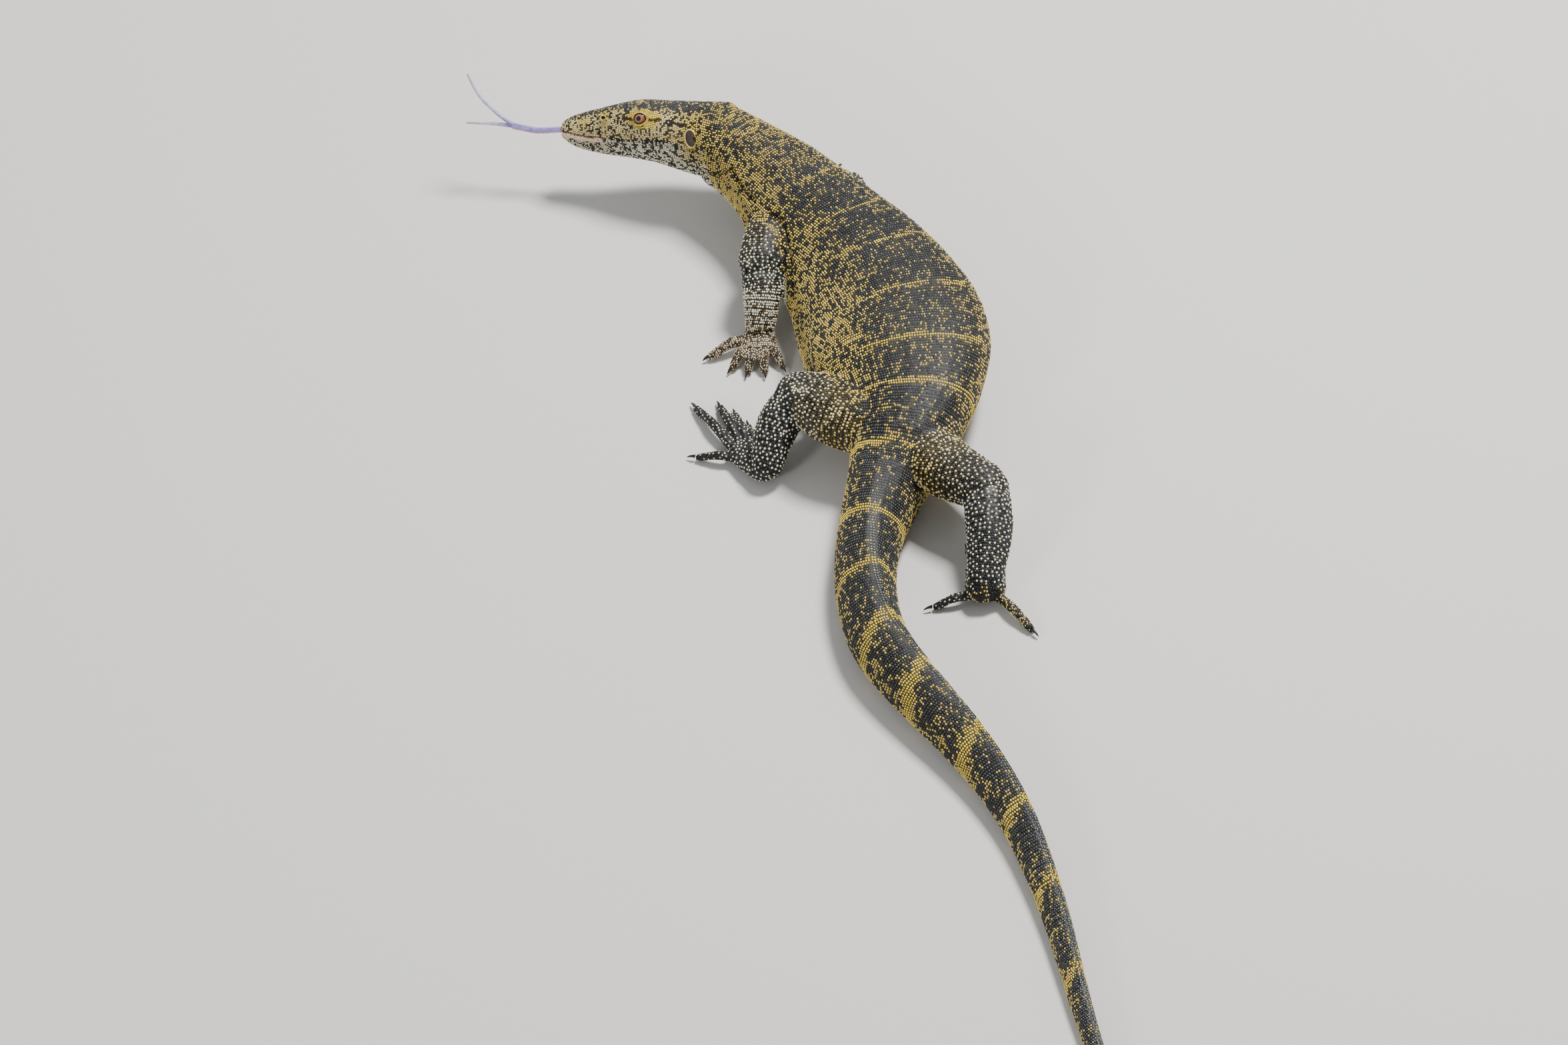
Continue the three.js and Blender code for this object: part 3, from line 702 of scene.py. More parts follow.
def lizard_legs() -> list[Leg]:
    """The four legs, as in the solids, in the order of LEGS."""
    return [
        Leg(name, Tube(stations, hint), [Leg.toe(*toe) for toe in toes])
        for name, (hint, stations, toes) in zip(LEGS, LIMBS)
    ]


# Finishes


def shader_of(name: str) -> tuple[bpy.types.Material, bpy.types.NodeTree, bpy.types.Node]:
    """Starts a material on the usual shader.

    Args:
        name: The material's name.

    Returns:
        The material, its node tree and its shader node.
    """
    material = bpy.data.materials.new(name)
    material.use_nodes = True
    tree = material.node_tree
    return material, tree, tree.nodes["Principled BSDF"]


def add_node(tree: bpy.types.NodeTree, kind: str, **values: float) -> bpy.types.Node:
    """Adds a shader node.

    Args:
        tree: The material's node tree.
        kind: The node's type.
        **values: Its inputs, by their names with _ for a space.

    Returns:
        The node.
    """
    node = tree.nodes.new(kind)
    for name, value in values.items():
        node.inputs[name.replace("_", " ")].default_value = value
    return node


def add_bump(tree: bpy.types.NodeTree, shader: bpy.types.Node, size: float, height: float) -> None:
    """Adds a fine grain to a shader's surface.

    Args:
        tree: The material's node tree.
        shader: The shader that takes the grain.
        size: How fine the grain is, in grains a metre.
        height: How deep it is, in metres.
    """
    place = add_node(tree, "ShaderNodeTexCoord")
    grain = add_node(tree, "ShaderNodeTexNoise", Scale=size, Detail=3.0)
    bump = add_node(tree, "ShaderNodeBump", Distance=height, Strength=0.6)
    tree.links.new(place.outputs["Object"], grain.inputs["Vector"])
    tree.links.new(grain.outputs["Fac"], bump.inputs["Height"])
    tree.links.new(bump.outputs["Normal"], shader.inputs["Normal"])


@dataclass(frozen=True)
class TintFinish:
    """A finish whose colour is painted on the mesh, with a fine grain."""

    name: str
    roughness: float = 0.4
    specular: float = 0.5
    coat: float = 0.0
    coat_roughness: float = 0.08
    grain_size: float = 1500.0
    grain_height: float = 0.00015
    mottle: float = 0.25

    def make(self) -> bpy.types.Material:
        """Makes the material.

        Returns:
            The finished material.
        """
        material, tree, shader = shader_of(self.name)
        tint = add_node(tree, "ShaderNodeAttribute")
        tint.attribute_name = TINT
        place = add_node(tree, "ShaderNodeTexCoord")
        mottle = add_node(tree, "ShaderNodeTexNoise", Scale=self.grain_size * 0.35, Detail=2.0)
        bright = {"To_Min": 1.0 - self.mottle, "To_Max": 1.0 + self.mottle}
        spread = add_node(tree, "ShaderNodeMapRange", From_Min=0.3, From_Max=0.7, **bright)
        mix = add_node(tree, "ShaderNodeVectorMath")
        mix.operation = "SCALE"
        tree.links.new(place.outputs["Object"], mottle.inputs["Vector"])
        tree.links.new(mottle.outputs["Fac"], spread.inputs["Value"])
        tree.links.new(tint.outputs["Color"], mix.inputs[0])
        tree.links.new(spread.outputs["Result"], mix.inputs["Scale"])
        tree.links.new(mix.outputs["Vector"], shader.inputs["Base Color"])
        shader.inputs["Roughness"].default_value = self.roughness
        shader.inputs["Specular IOR Level"].default_value = self.specular
        shader.inputs["Coat Weight"].default_value = self.coat
        shader.inputs["Coat Roughness"].default_value = self.coat_roughness
        add_bump(tree, shader, self.grain_size, self.grain_height)
        return material


@dataclass(frozen=True)
class FloorFinish:
    """The plain pale floor under the model."""

    name: str = "pale_floor"
    shade: tuple[float, float, float] = (0.62, 0.6, 0.57)
    roughness: float = 0.85
    grain_size: float = 260.0
    grain_height: float = 0.0001

    def make(self) -> bpy.types.Material:
        """Makes the material.

        Returns:
            The finished material.
        """
        material, tree, shader = shader_of(self.name)
        shader.inputs["Base Color"].default_value = (*self.shade, 1.0)
        shader.inputs["Roughness"].default_value = self.roughness
        add_bump(tree, shader, self.grain_size, self.grain_height)
        return material


# Mesh helpers


def clear_selection() -> None:
    """Leaves nothing selected, in object mode."""
    if bpy.context.object and bpy.context.object.mode != "OBJECT":
        bpy.ops.object.mode_set(mode="OBJECT")
    bpy.ops.object.select_all(action="DESELECT")


def choose(piece: bpy.types.Object) -> None:
    """Makes one object the only one selected, and the active one.

    Args:
        piece: The object that is worked on.
    """
    clear_selection()
    piece.select_set(True)
    bpy.context.view_layer.objects.active = piece


def copy_nodes(name: str, nodes: Sequence[str]) -> bpy.types.Object:
    """Copies solids of the frame into one new object, with loose faces merged.

    Args:
        name: The new object's name.
        nodes: The names of the solids.

    Returns:
        The new object.
    """
    copies = []
    for node in nodes:
        copy = bpy.data.objects.new(name + "_" + node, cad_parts[node].data.copy())
        bpy.context.scene.collection.objects.link(copy)
        copies.append(copy)
    clear_selection()
    for copy in copies:
        copy.select_set(True)
    bpy.context.view_layer.objects.active = copies[0]
    if len(copies) > 1:
        bpy.ops.object.join()
    joined = bpy.context.view_layer.objects.active
    joined.name = joined.data.name = name
    joined.data.materials.clear()
    bpy.ops.object.mode_set(mode="EDIT")
    bpy.ops.mesh.select_all(action="SELECT")
    bpy.ops.mesh.remove_doubles(threshold=0.000002)
    bpy.ops.object.mode_set(mode="OBJECT")
    return joined


def apply_modifier(piece: bpy.types.Object, kind: str, **settings: object) -> None:
    """Adds a modifier to an object and applies it.

    Args:
        piece: The object.
        kind: The modifier's type.
        **settings: Its settings by name.
    """
    choose(piece)
    modifier = piece.modifiers.new("work", kind)
    for key, value in settings.items():
        setattr(modifier, key, value)
    bpy.ops.object.modifier_apply(modifier="work")


def read_vertices(piece: bpy.types.Object, kind: str) -> np.ndarray:
    """Reads three numbers of each of an object's vertices, one vertex a row."""
    flat = np.empty(len(piece.data.vertices) * 3, np.float32)
    piece.data.vertices.foreach_get(kind, flat)
    return flat.reshape(-1, 3).astype(float)


def read_points(piece: bpy.types.Object) -> np.ndarray:
    """An object's vertices in millimetres, one a row."""
    return read_vertices(piece, "co") / MM


def read_normals(piece: bpy.types.Object) -> np.ndarray:
    """An object's vertex normals, one a row."""
    return read_vertices(piece, "normal")


def write_points(piece: bpy.types.Object, points: np.ndarray) -> None:
    """Moves an object's vertices to places in millimetres, one a row."""
    piece.data.vertices.foreach_set("co", (points * MM).astype(np.float32).ravel())
    piece.data.update()


def write_tint(piece: bpy.types.Object, colours: np.ndarray) -> None:
    """Paints an object's vertices.

    Args:
        piece: The object.
        colours: One linear colour for each vertex.
    """
    layers = piece.data.color_attributes
    layer = layers.get(TINT) or layers.new(TINT, "FLOAT_COLOR", "POINT")
    four = np.concatenate([np.clip(colours, 0, 1), np.ones((len(colours), 1))], axis=1)
    layer.data.foreach_set("color", four.astype(np.float32).ravel())


def relax(
    piece: bpy.types.Object, rounds: int, share: float = 0.5, where: np.ndarray | None = None
) -> None:
    """Evens out a mesh, without shrinking it where no weights are given.

    Args:
        piece: The object.
        rounds: How often each vertex moves towards its neighbours.
        share: How far it moves each time.
        where: How much of that each vertex takes; such moves aren't taken back.
    """
    mesh = piece.data
    pairs = np.empty(len(mesh.edges) * 2, np.int32)
    mesh.edges.foreach_get("vertices", pairs)
    first, second = pairs.reshape(-1, 2).T
    points = read_points(piece)
    count = len(points)
    degree = np.bincount(first, minlength=count) + np.bincount(second, minlength=count)
    take_back = 1.02
    steps = [share, -share * take_back] if where is None else [share * where[:, None]]
    for step in steps * rounds:
        middle = np.empty_like(points)
        for k in range(3):
            onward = np.bincount(first, points[second, k], count)
            middle[:, k] = onward + np.bincount(second, points[first, k], count)
        middle /= np.maximum(degree, 1)[:, None]
        points += (middle - points) * step
    write_points(piece, points)


def finish_piece(piece: bpy.types.Object, material: bpy.types.Material) -> None:
    """Gives a piece its material, slot and body, with smooth shading.

    Args:
        piece: The finished object.
        material: What it is made of.
    """
    piece.data.materials.clear()
    piece.data.materials.append(material)
    piece.data.polygons.foreach_set("use_smooth", np.ones(len(piece.data.polygons), bool))
    piece.data.update()
    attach(piece, BODY)


class Surface:
    """The finished skin as something to set scales on."""

    def __init__(self, piece: bpy.types.Object) -> None:
        """Reads the skin.

        Args:
            piece: The skin's object.
        """
        mesh = piece.data
        mesh.calc_loop_triangles()
        self.points = read_points(piece)
        normals = read_normals(piece)
        flat = np.empty(len(mesh.loop_triangles) * 3, np.int32)
        mesh.loop_triangles.foreach_get("vertices", flat)
        self.corners = flat.reshape(-1, 3)
        self.facing = unit(normals[self.corners].mean(axis=1))
        self.tree = BVHTree.FromPolygons(self.points.tolist(), self.corners.tolist(), all_triangles=True)

    def drop(self, places: np.ndarray, reach: float) -> tuple[np.ndarray, np.ndarray, np.ndarray]:
        """Brings places onto the skin.

        Args:
            places: Places near it.
            reach: How far each may move.

        Returns:
            Which places found the skin, where they are on it, and its facing there.
        """
        found = np.zeros(len(places), bool)
        spots = np.zeros((len(places), 3))
        facing = np.zeros((len(places), 3))
        for index, place in enumerate(places):
            spot, _, face, _ = self.tree.find_nearest(place, reach)
            if spot is not None:
                found[index] = True
                spots[index] = spot
                facing[index] = self.facing[face]
        return found, spots[found], facing[found]

    def scatter(self, count: int, rng: np.random.Generator) -> tuple[np.ndarray, np.ndarray]:
        """Draws random places on the skin.

        Args:
            count: How many.
            rng: The random numbers.

        Returns:
            The places and the skin's facing at each.
        """
        a, b, c = (self.points[self.corners[:, k]] for k in range(3))
        area = np.linalg.norm(np.cross(b - a, c - a), axis=1)
        picked = rng.choice(len(area), count, p=area / area.sum())
        u, v = rng.random((2, count))
        over = u + v > 1
        u[over], v[over] = 1 - u[over], 1 - v[over]
        spots = a[picked] + u[:, None] * (b - a)[picked] + v[:, None] * (c - a)[picked]
        return spots, self.facing[picked]


# Folds of the skin at neck, shoulder and flank: their lines, depth and width
FOLDS = (
    (((-97, 201, 33), (-90, 190, 43), (-84, 180, 48), (-77, 171, 57)), 2.2, 1.8),
    (((-73, 168, 60), (-72, 162, 58), (-69, 153, 56), (-66, 143, 56), (-63, 135, 57)), 2.6, 2.2),
    (((-56, 118, 60), (-50, 109, 60), (-47, 98, 58), (-47, 86, 54), (-48, 72, 47), (-50, 56, 38)), 2.4, 1.9),
)


@dataclass
class Skin:
    """The one skin under the scales."""

    voxel: float = 1.15
    swell: float = 0.25
    depth: float = 0.45
    most_triangles: int = 185000
    junction: tuple[float, float] = (114.0, 13.0)
    junction_rounds: int = 70
    mouth_depth: float = 0.8
    nodes: tuple[str, ...] = (
        "head",
        "neck",
        "torso_front",
        "torso_rear",
        *(f"tail_{k}" for k in range(1, 6)),
        *(f"leg_{leg}_{part}" for leg in LEGS for part in ("upper", "lower", "foot")),
    )

    def build(self, head: Head) -> bpy.types.Object:
        """Makes the skin from the solids.

        Args:
            head: The head's frame.

        Returns:
            The skin's object.
        """
        skin = copy_nodes("skin", self.nodes)
        write_points(skin, read_points(skin) + read_normals(skin) * self.swell)
        apply_modifier(skin, "REMESH", mode="VOXEL", voxel_size=self.voxel * MM, adaptivity=0.0)
        relax(skin, 6)
        back, left, up = head.measure(read_points(skin))
        nape = bell(back, *self.junction) * (np.abs(left) < 45) * (up > -42)
        relax(skin, self.junction_rounds, 0.5, nape)
        self.crease(skin, head)
        triangles = 2 * len(skin.data.polygons)
        if triangles > self.most_triangles:
            apply_modifier(skin, "DECIMATE", ratio=self.most_triangles / triangles)
        points = read_points(skin) - read_normals(skin) * (self.swell + self.depth)
        points[:, 2] = np.maximum(points[:, 2], self.depth)
        write_points(skin, points)
        relax(skin, 1, 0.3)
        return skin

    def crease(self, skin: bpy.types.Object, head: Head) -> None:
        """Presses the corner of the mouth and the neck's folds into the skin.

        Args:
            skin: The skin's object.
            head: The head's frame.
        """
        points, normals = read_points(skin), read_normals(skin)
        back, left, up = head.measure(points)
        near = (back > 36) & (back < 96) & (np.abs(left) < 26) & (np.abs(up) < 34)
        line = bell(up - head.mouth_height(back), 0.0, 0.8)
        line = line * ease(back, 36, 44) * (1 - ease(back, 82, 90))
        press = np.where(near, self.mouth_depth * line, 0.0)
        for fold, depth, width in FOLDS:
            press = np.maximum(press, depth * bell(line_gap(points, fold), 0.0, width))
        write_points(skin, points - normals * press[:, None])


@dataclass
class Coat:
    """Scales gathered for the whole animal, before they are made into meshes."""

    places: list[np.ndarray] = field(default_factory=list)
    facing: list[np.ndarray] = field(default_factory=list)
    lies: list[np.ndarray] = field(default_factory=list)
    sizes: list[np.ndarray] = field(default_factory=list)
    ranks: list[np.ndarray] = field(default_factory=list)
    filler_gap: float = 0.9
    filler_crowd: float = 0.78
    widest_gap: float = 14.0

    def lists(self) -> tuple[list[np.ndarray], ...]:
        """The five lists."""
        return self.places, self.facing, self.lies, self.sizes, self.ranks

    def append(self, *new: np.ndarray) -> None:
        """Adds one array to each of the five lists."""
        for rows, more in zip(self.lists(), new):
            rows.append(more)

    def add(self, skin: Surface, rows: Rows, reach: float, rank: Rank) -> None:
        """Sets rows of scales on the skin.

        Args:
            skin: The skin.
            rows: Places, directions and sizes.
            reach: How far a place may be from the skin.
            rank: Whether they give way where two meet.
        """
        places, lies, sizes = rows
        found, spots, facing = skin.drop(places, reach)
        self.append(spots, facing, lies[found], sizes[found], np.full(len(spots), rank.value))

    def merge(self) -> None:
        """Joins what each list holds into one array."""
        for rows in self.lists():
            rows[:] = [np.concatenate(rows)]

    def keep(self, mask: np.ndarray) -> None:
        """Drops the scales that a mask leaves out.

        Args:
            mask: True for each scale that stays.
        """
        self.merge()
        for rows in self.lists():
            rows[0] = rows[0][mask]

    def thin(self, crowd: float) -> None:
        """Drops scales that stand too near another.

        Args:
            crowd: The least distance, in shares of the scale's own size.
        """
        self.merge()
        places, ranks = self.places[0], self.ranks[0]
        room = self.sizes[0].min(axis=1) * crowd
        tree = plant(places)
        gone = np.zeros(len(places), bool)
        for index in np.argsort(ranks, kind="stable"):
            if gone[index]:
                continue
            for _, other, _ in tree.find_range(places[index], room[index]):
                if other != index and (ranks[other] > ranks[index] or other > index):
                    gone[other] = True
        self.keep(~gone)

    def fill(
        self,
        skin: Surface,
        bare: Callable[[np.ndarray], np.ndarray],
        count: int,
        rng: np.random.Generator,
    ) -> None:
        """Fills the gaps that the rows left.

        Args:
            skin: The skin.
            bare: Tells which places carry no scales.
            count: How many places are tried.
            rng: The random numbers.
        """
        self.merge()
        places, sizes = self.places[0], self.sizes[0]
        tree = plant(places)
        spots, facing = skin.scatter(count, rng)
        gap = np.empty(count)
        nearest = np.empty(count, int)
        for index, spot in enumerate(spots):
            _, nearest[index], gap[index] = tree.find(spot)
        size = sizes[nearest].min(axis=1)
        free = (gap > size * self.filler_gap) & (gap < self.widest_gap)
        free &= (spots[:, 2] > ROOT_HEIGHT) & ~bare(spots)
        self.append(
            spots[free],
            facing[free],
            self.lies[0][nearest[free]],
            np.repeat(size[free][:, None], 2, axis=1),
            np.full(int(free.sum()), Rank.FILLER.value),
        )
        self.thin(self.filler_crowd)


@dataclass(frozen=True)
class ScaleShape:
    """A scale as a low dome of few faces, sunk a little in the skin."""

    sides: int = 6
    cover: float = 0.45
    shoulder: float = 0.66
    shoulder_height: float = 0.72
    tip: tuple[float, float, float] = (0.08, 0.0, 1.0)
    sunk: float = 0.3
    # Brightness painted on the sunk edge ring: painted shade where the scale meets the skin
    rim: float = 0.16
    # Brightness painted on the shoulder and the tip: the tip gets a painted highlight
    light: tuple[float, float] = (0.95, 1.08)

    def template(self) -> tuple[np.ndarray, list[list[int]], np.ndarray]:
        """The shape of one scale.

        Returns:
            Its vertices in shares of its size, its faces, and how bright each vertex is.
        """
        turns = np.arange(self.sides) / self.sides * 2 * math.pi
        wheel = np.stack([np.cos(turns), np.sin(turns)], axis=1)
        low = np.concatenate([wheel, np.full((self.sides, 1), -self.sunk)], axis=1)
        high = np.concatenate([wheel * self.shoulder, np.full((self.sides, 1), self.shoulder_height)], axis=1)
        points = np.vstack([low, high, [self.tip]])
        steps = [(k, (k + 1) % self.sides) for k in range(self.sides)]
        faces = [[k, after, self.sides + after, self.sides + k] for k, after in steps]
        faces += [[self.sides + k, self.sides + after, 2 * self.sides] for k, after in steps]
        faces.append(list(range(self.sides))[::-1])
        shoulder, top = self.light
        light = np.concatenate([np.full(self.sides, self.rim), np.full(self.sides, shoulder), [top]])
        return points, faces, light

    def build(
        self,
        name: str,
        places: np.ndarray,
        facing: np.ndarray,
        lies: np.ndarray,
        sizes: np.ndarray,
        heights: np.ndarray,
        tints: np.ndarray,
        roots: np.ndarray,
    ) -> bpy.types.Object:
        """Makes many scales as one mesh.

        Args:
            name: The new object's name.
            places: Where each scale is rooted.
            facing: The skin's facing at each.
            lies: The direction that each lies in.
            sizes: Length and width of each.
            heights: Height of each.
            tints: Colour of each.
            roots: Each root's place on the unwrap of the skin.

        Returns:
            The new object.
        """
        shape, faces, light = self.template()
        ahead = unit(lies - (lies * facing).sum(1, keepdims=True) * facing)
        across = np.cross(facing, ahead)
        length, width = (sizes * self.cover).T
        points = (
            places[:, None, :]
            + shape[None, :, :1] * (ahead * length[:, None])[:, None, :]
            + shape[None, :, 1:2] * (across * width[:, None])[:, None, :]
            + shape[None, :, 2:] * (facing * heights[:, None])[:, None, :]
        )
        points[:, :, 2] = np.maximum(points[:, :, 2], EDGE_HEIGHT)
        count, each = len(places), len(shape)
        loops = np.concatenate([np.array(f) for f in faces])
        spans = np.array([len(f) for f in faces])
        mesh = bpy.data.meshes.new(name)
        mesh.vertices.add(count * each)
        mesh.vertices.foreach_set("co", (points * MM).astype(np.float32).ravel())
        corners = (np.arange(count)[:, None] * each + loops[None, :]).ravel()
        mesh.loops.add(len(corners))
        mesh.loops.foreach_set("vertex_index", corners.astype(np.int32))
        totals = np.tile(spans, count)
        mesh.polygons.add(len(totals))
        starts = np.concatenate([[0], np.cumsum(totals)[:-1]])
        mesh.polygons.foreach_set("loop_start", starts.astype(np.int32))
        mesh.polygons.foreach_set("loop_total", totals.astype(np.int32))
        mesh.update(calc_edges=True)
        layer = mesh.uv_layers.new(name=BAKE_MAP)
        patch = (roots[:, None, :] + shape[None, loops, :2] * BAKE_PATCH / 2).reshape(-1, 2)
        layer.data.foreach_set("uv", patch.astype(np.float32).ravel())
        piece = bpy.data.objects.new(name, mesh)
        bpy.context.scene.collection.objects.link(piece)
        # Each scale's colour times its painted shade at the edge and its painted highlight at the tip
        write_tint(piece, (tints[:, None, :] * light[None, :, None]).reshape(-1, 3))
        return piece


@dataclass(frozen=True)
class Band:
    """A yellow band across the back or tail."""

    at: float
    width: float
    slant: float
    strength: float
    reach: float


BANDS = (
    Band(128, 2.0, -0.25, 0.5, 40),
    Band(176, 1.8, -0.22, 0.7, 46),
    Band(214, 1.8, -0.12, 0.8, 50),
    Band(264, 1.8, 0.0, 0.95, 46),
    Band(311, 1.8, 0.0, 1.0, 50),
    Band(347, 1.9, 0.05, 1.0, 60),
    Band(366, 1.8, 0.1, 0.5, 30),
    Band(388, 2.8, 0.2, 1.0, 60),
    Band(451, 3.2, 0.1, 1.0, 60),
    Band(500, 3.2, 0.35, 0.95, 60),
    Band(550, 5.2, 0.62, 0.95, 60),
    Band(604, 6.2, 0.7, 1.0, 60),
    Band(675, 6.8, 0.75, 1.0, 60),
    Band(748, 6.8, 0.75, 0.9, 60),
    Band(822, 6.8, 0.7, 0.85, 60),
    Band(906, 6.4, 0.7, 0.8, 60),
    Band(985, 6.0, 0.6, 0.8, 60),
    Band(1058, 5.6, 0.5, 0.7, 60),
    Band(1120, 5.0, 0.4, 0.6, 60),
)

# The neck's yellow lines: turns from the back's middle, and where each line is at those turns
NECK_LINES = (
    ((0.0, 0.37, 0.6, 0.77), (41.0, 36.4, 31.0, 24.0)),
    ((0.0, 0.27, 0.43, 0.62, 0.81), (63.5, 59.0, 55.0, 49.0, 42.0)),
)

# How far it is from the back's middle line to the belly, along the body
GIRTH = ((0, 60, 150, 300, 400, 600, 1186), (30, 42, 75, 92, 62, 46, 6))

# How far apart the pale spots of the legs are, from hip or shoulder to palm
SPOT_ROOM = {
    "hind": ((0.0, 0.4, 0.62, 0.85, 1.0), (2.05, 2.3, 2.25, 2.4, 2.5)),
    "front": ((0.0, 0.3, 0.5, 0.64, 0.86, 1.0), (2.1, 2.3, 2.0, 1.45, 0.9, 0.9)),
}


@dataclass
class Markings:
    """The colours of the hide, the same for skin and scales."""

    spine: Spine
    head: Head
    legs: list[Leg]
    neck_fade: tuple[float, float] = (85.0, 140.0)
    tail_fade: tuple[float, float] = (405.0, 470.0)
    black: np.ndarray = field(default_factory=lambda: paint(20, 20, 21))
    slate: np.ndarray = field(default_factory=lambda: paint(86, 88, 84))
    olive: np.ndarray = field(default_factory=lambda: paint(178, 148, 60))
    yellow: np.ndarray = field(default_factory=lambda: paint(226, 194, 80))
    bright: np.ndarray = field(default_factory=lambda: paint(246, 210, 52))
    cream: np.ndarray = field(default_factory=lambda: paint(242, 226, 168))
    white: np.ndarray = field(default_factory=lambda: paint(242, 240, 224))
    ochre: np.ndarray = field(default_factory=lambda: paint(184, 148, 92))
    rust: np.ndarray = field(default_factory=lambda: paint(58, 34, 24))

    def body(self, points: np.ndarray, rng: np.random.Generator) -> np.ndarray:
        """Colours for neck, trunk and tail.

        Args:
            points: Where the scales are.
            rng: The random numbers.

        Returns:
            One colour each.
        """
        along, angle, offset = self.spine.locate(points)
        out = np.abs(offset)
        tail = ease(along, *self.tail_fade)
        neck = 1 - ease(along, *self.neck_fade)

        # Bands, bent and broken up a little, and the lines of the neck
        wander = (cloud(points, 9.0, 3) - 0.5) * 7.0
        band = np.zeros(len(points))
        for one in BANDS:
            reach = along - one.slant * out + wander * (0.5 if one.at < 430 else 0.25)
            part = one.strength * bell(reach, one.at, one.width) * (1 - ease(out, one.reach - 14, one.reach))
            band = np.maximum(band, part)
        band *= 1 - 0.4 * ease(cloud(points, 6.0, 17), 0.55, 0.75) * (1 - tail)
        for turns, places in NECK_LINES:
            fade = 1 - ease(np.abs(angle), turns[-1] - 0.05, turns[-1] + 0.1)
            band = np.maximum(band, fade * bell(along - np.interp(np.abs(angle), turns, places), 0, 1.4))

        # How likely a scale is pale: more so low on the flank, on the neck and in the bands
        low = out / np.interp(along, *GIRTH)
        flank = ease(low, 0.2, 0.66)
        grain = cloud(np.stack([along / 4.4, offset / 2.0, np.zeros(len(along))], axis=1), 1.0, 5)
        patch = cloud(points, 13.0, 14) - 0.5
        chance = 0.22 + 0.42 * flank + 0.14 * patch
        chance = chance * (1 - tail) + tail * (0.18 + 0.2 * flank + 0.2 * patch)
        chance = chance * (1 - neck) + neck * (0.56 + 0.2 * flank + 0.14 * patch)
        chance = chance * (1 - 0.85 * band) + 1.25 * band
        lit = ranked(0.75 * rng.random(len(points)) + 0.55 * (grain - 0.5)) < chance

        # Pale scales go from olive on the back to cream on the belly, dark ones from black to slate
        warm = blend(self.olive, self.yellow, 0.25 + 0.6 * flank + 0.5 * (rng.random(len(points)) - 0.4))
        warm = blend(warm, self.bright, band * 1.1)
        belly = ease(low, 1.0, 1.45) * 0.7 * (1 - tail * 0.6)
        warm = blend(warm, self.cream, 0.25 * rng.random(len(points)) + belly)
        dark = blend(self.black, self.slate, 0.1 + 0.8 * rng.random(len(points)) * (1 - 0.7 * flank))
        crest = tail * bell(offset, 0, 2.6)
        dark = blend(dark, self.slate * 2.6, crest * 0.9)
        return np.where(lit[:, None], warm, dark)

    def limb(self, leg: Leg, points: np.ndarray, rng: np.random.Generator) -> np.ndarray:
        """Colours for one leg and foot.

        Args:
            leg: The leg.
            points: Where the scales are.
            rng: The random numbers.

        Returns:
            One colour each.
        """
        along, _, _ = leg.limb.locate(points)
        share = along / leg.limb.length[-1]
        front = leg.name.startswith("front")
        room = np.interp(share, *SPOT_ROOM["front" if front else "hind"])

        # Pale spots that stand apart, yellower towards the body
        lit = apart(points, room * (0.72 + 0.56 * cloud(points, 7.0, 21)), rng)
        root = 1 - ease(share, 0.1, 0.55)
        pale = blend(self.white, self.yellow, root * (0.3 + 0.9 * cloud(points, 12, 31)))
        pale = blend(pale, self.cream, 0.6 * rng.random(len(points)))
        if front:
            pale = blend(pale, self.ochre, ease(share, 0.74, 0.95) * 0.55)

        # Dark scales between them, browner on the front hands
        dark = blend(self.black, self.slate, 0.5 * rng.random(len(points)))
        dark = blend(dark, self.olive * 0.45, 0.5 * root)
        if front:
            dark = blend(dark, self.ochre * 0.5, 0.75 * ease(share, 0.55, 0.72))
            lit &= (share < 0.7) | (rng.random(len(points)) < 0.72)
        return np.where(lit[:, None], pale, dark)

    def face(self, points: np.ndarray, rng: np.random.Generator) -> np.ndarray:
        """Colours for the head.

        Args:
            points: Where the scales are.
            rng: The random numbers.

        Returns:
            One colour each.
        """
        head = self.head
        back, left, up = head.measure(points)
        side = np.abs(left)
        high = np.interp(back, head.table[:, 0], head.table[:, 2])
        low = np.interp(back, head.table[:, 0], head.table[:, 3])
        luck = rng.random(len(points))
        mix = ranked(0.85 * luck + 0.3 * (cloud(points, 2.4, 41) - 0.5))

        # Pale cheeks under a dark crown, a barred jaw and a pale lower lip
        crown = ease(up / high, 0.78, 0.92)
        mouth = up - head.mouth_height(back)
        jaw = ease(-mouth, 0.0, 1.0)
        chance = 0.66 - 0.46 * crown
        bars = bell(np.mod(back + 3 * side, 12.0), 6.0, 2.0)
        chance = np.where(jaw > 0.5, 0.7 - 0.4 * bars, chance)
        chance = np.maximum(chance, bell(mouth, -2.6, 2.2) * (1 - ease(back, 30, 42)))

        # A yellow spindle round the eye with dark corners, and yellow round nostril, snout and ear
        spindle = np.clip(1 - ((back - 65) / 15.5) ** 2, 0, 1)
        zone = (np.abs(up - 13.8) < 5.6 * spindle) & (side > 5)
        corner = zone & (np.abs(up - 13.4) < 0.9) & (np.abs(back - 64.5) > 5)
        nose = bell(np.hypot(back - head.nostril[0], up - head.nostril[2]), 2.9, 1.0) * (side > 4)
        snout = bell(np.hypot(back - 20, up - 9), 0, 3.0) * (side > 4) * 0.8
        ear = np.hypot((back - head.ear[0]) / head.ear_size[0], (up - head.ear[2]) / head.ear_size[1])
        rim = bell(ear, 1.25, 0.22) * (side > 12)
        glow = np.maximum.reduce([1.0 * zone, 0.85 * nose, snout, rim])

        # A dark line from the eye towards the ear
        dark_line = bell(up - (13.0 - 0.16 * (back - 80)), 0, 1.6)
        dark_line = dark_line * ease(back, 80, 84) * (1 - ease(back, 96, 104))
        chance = np.maximum(chance, glow) * (1 - 0.7 * dark_line * (side > 8))
        lit = (mix < chance) & ~corner

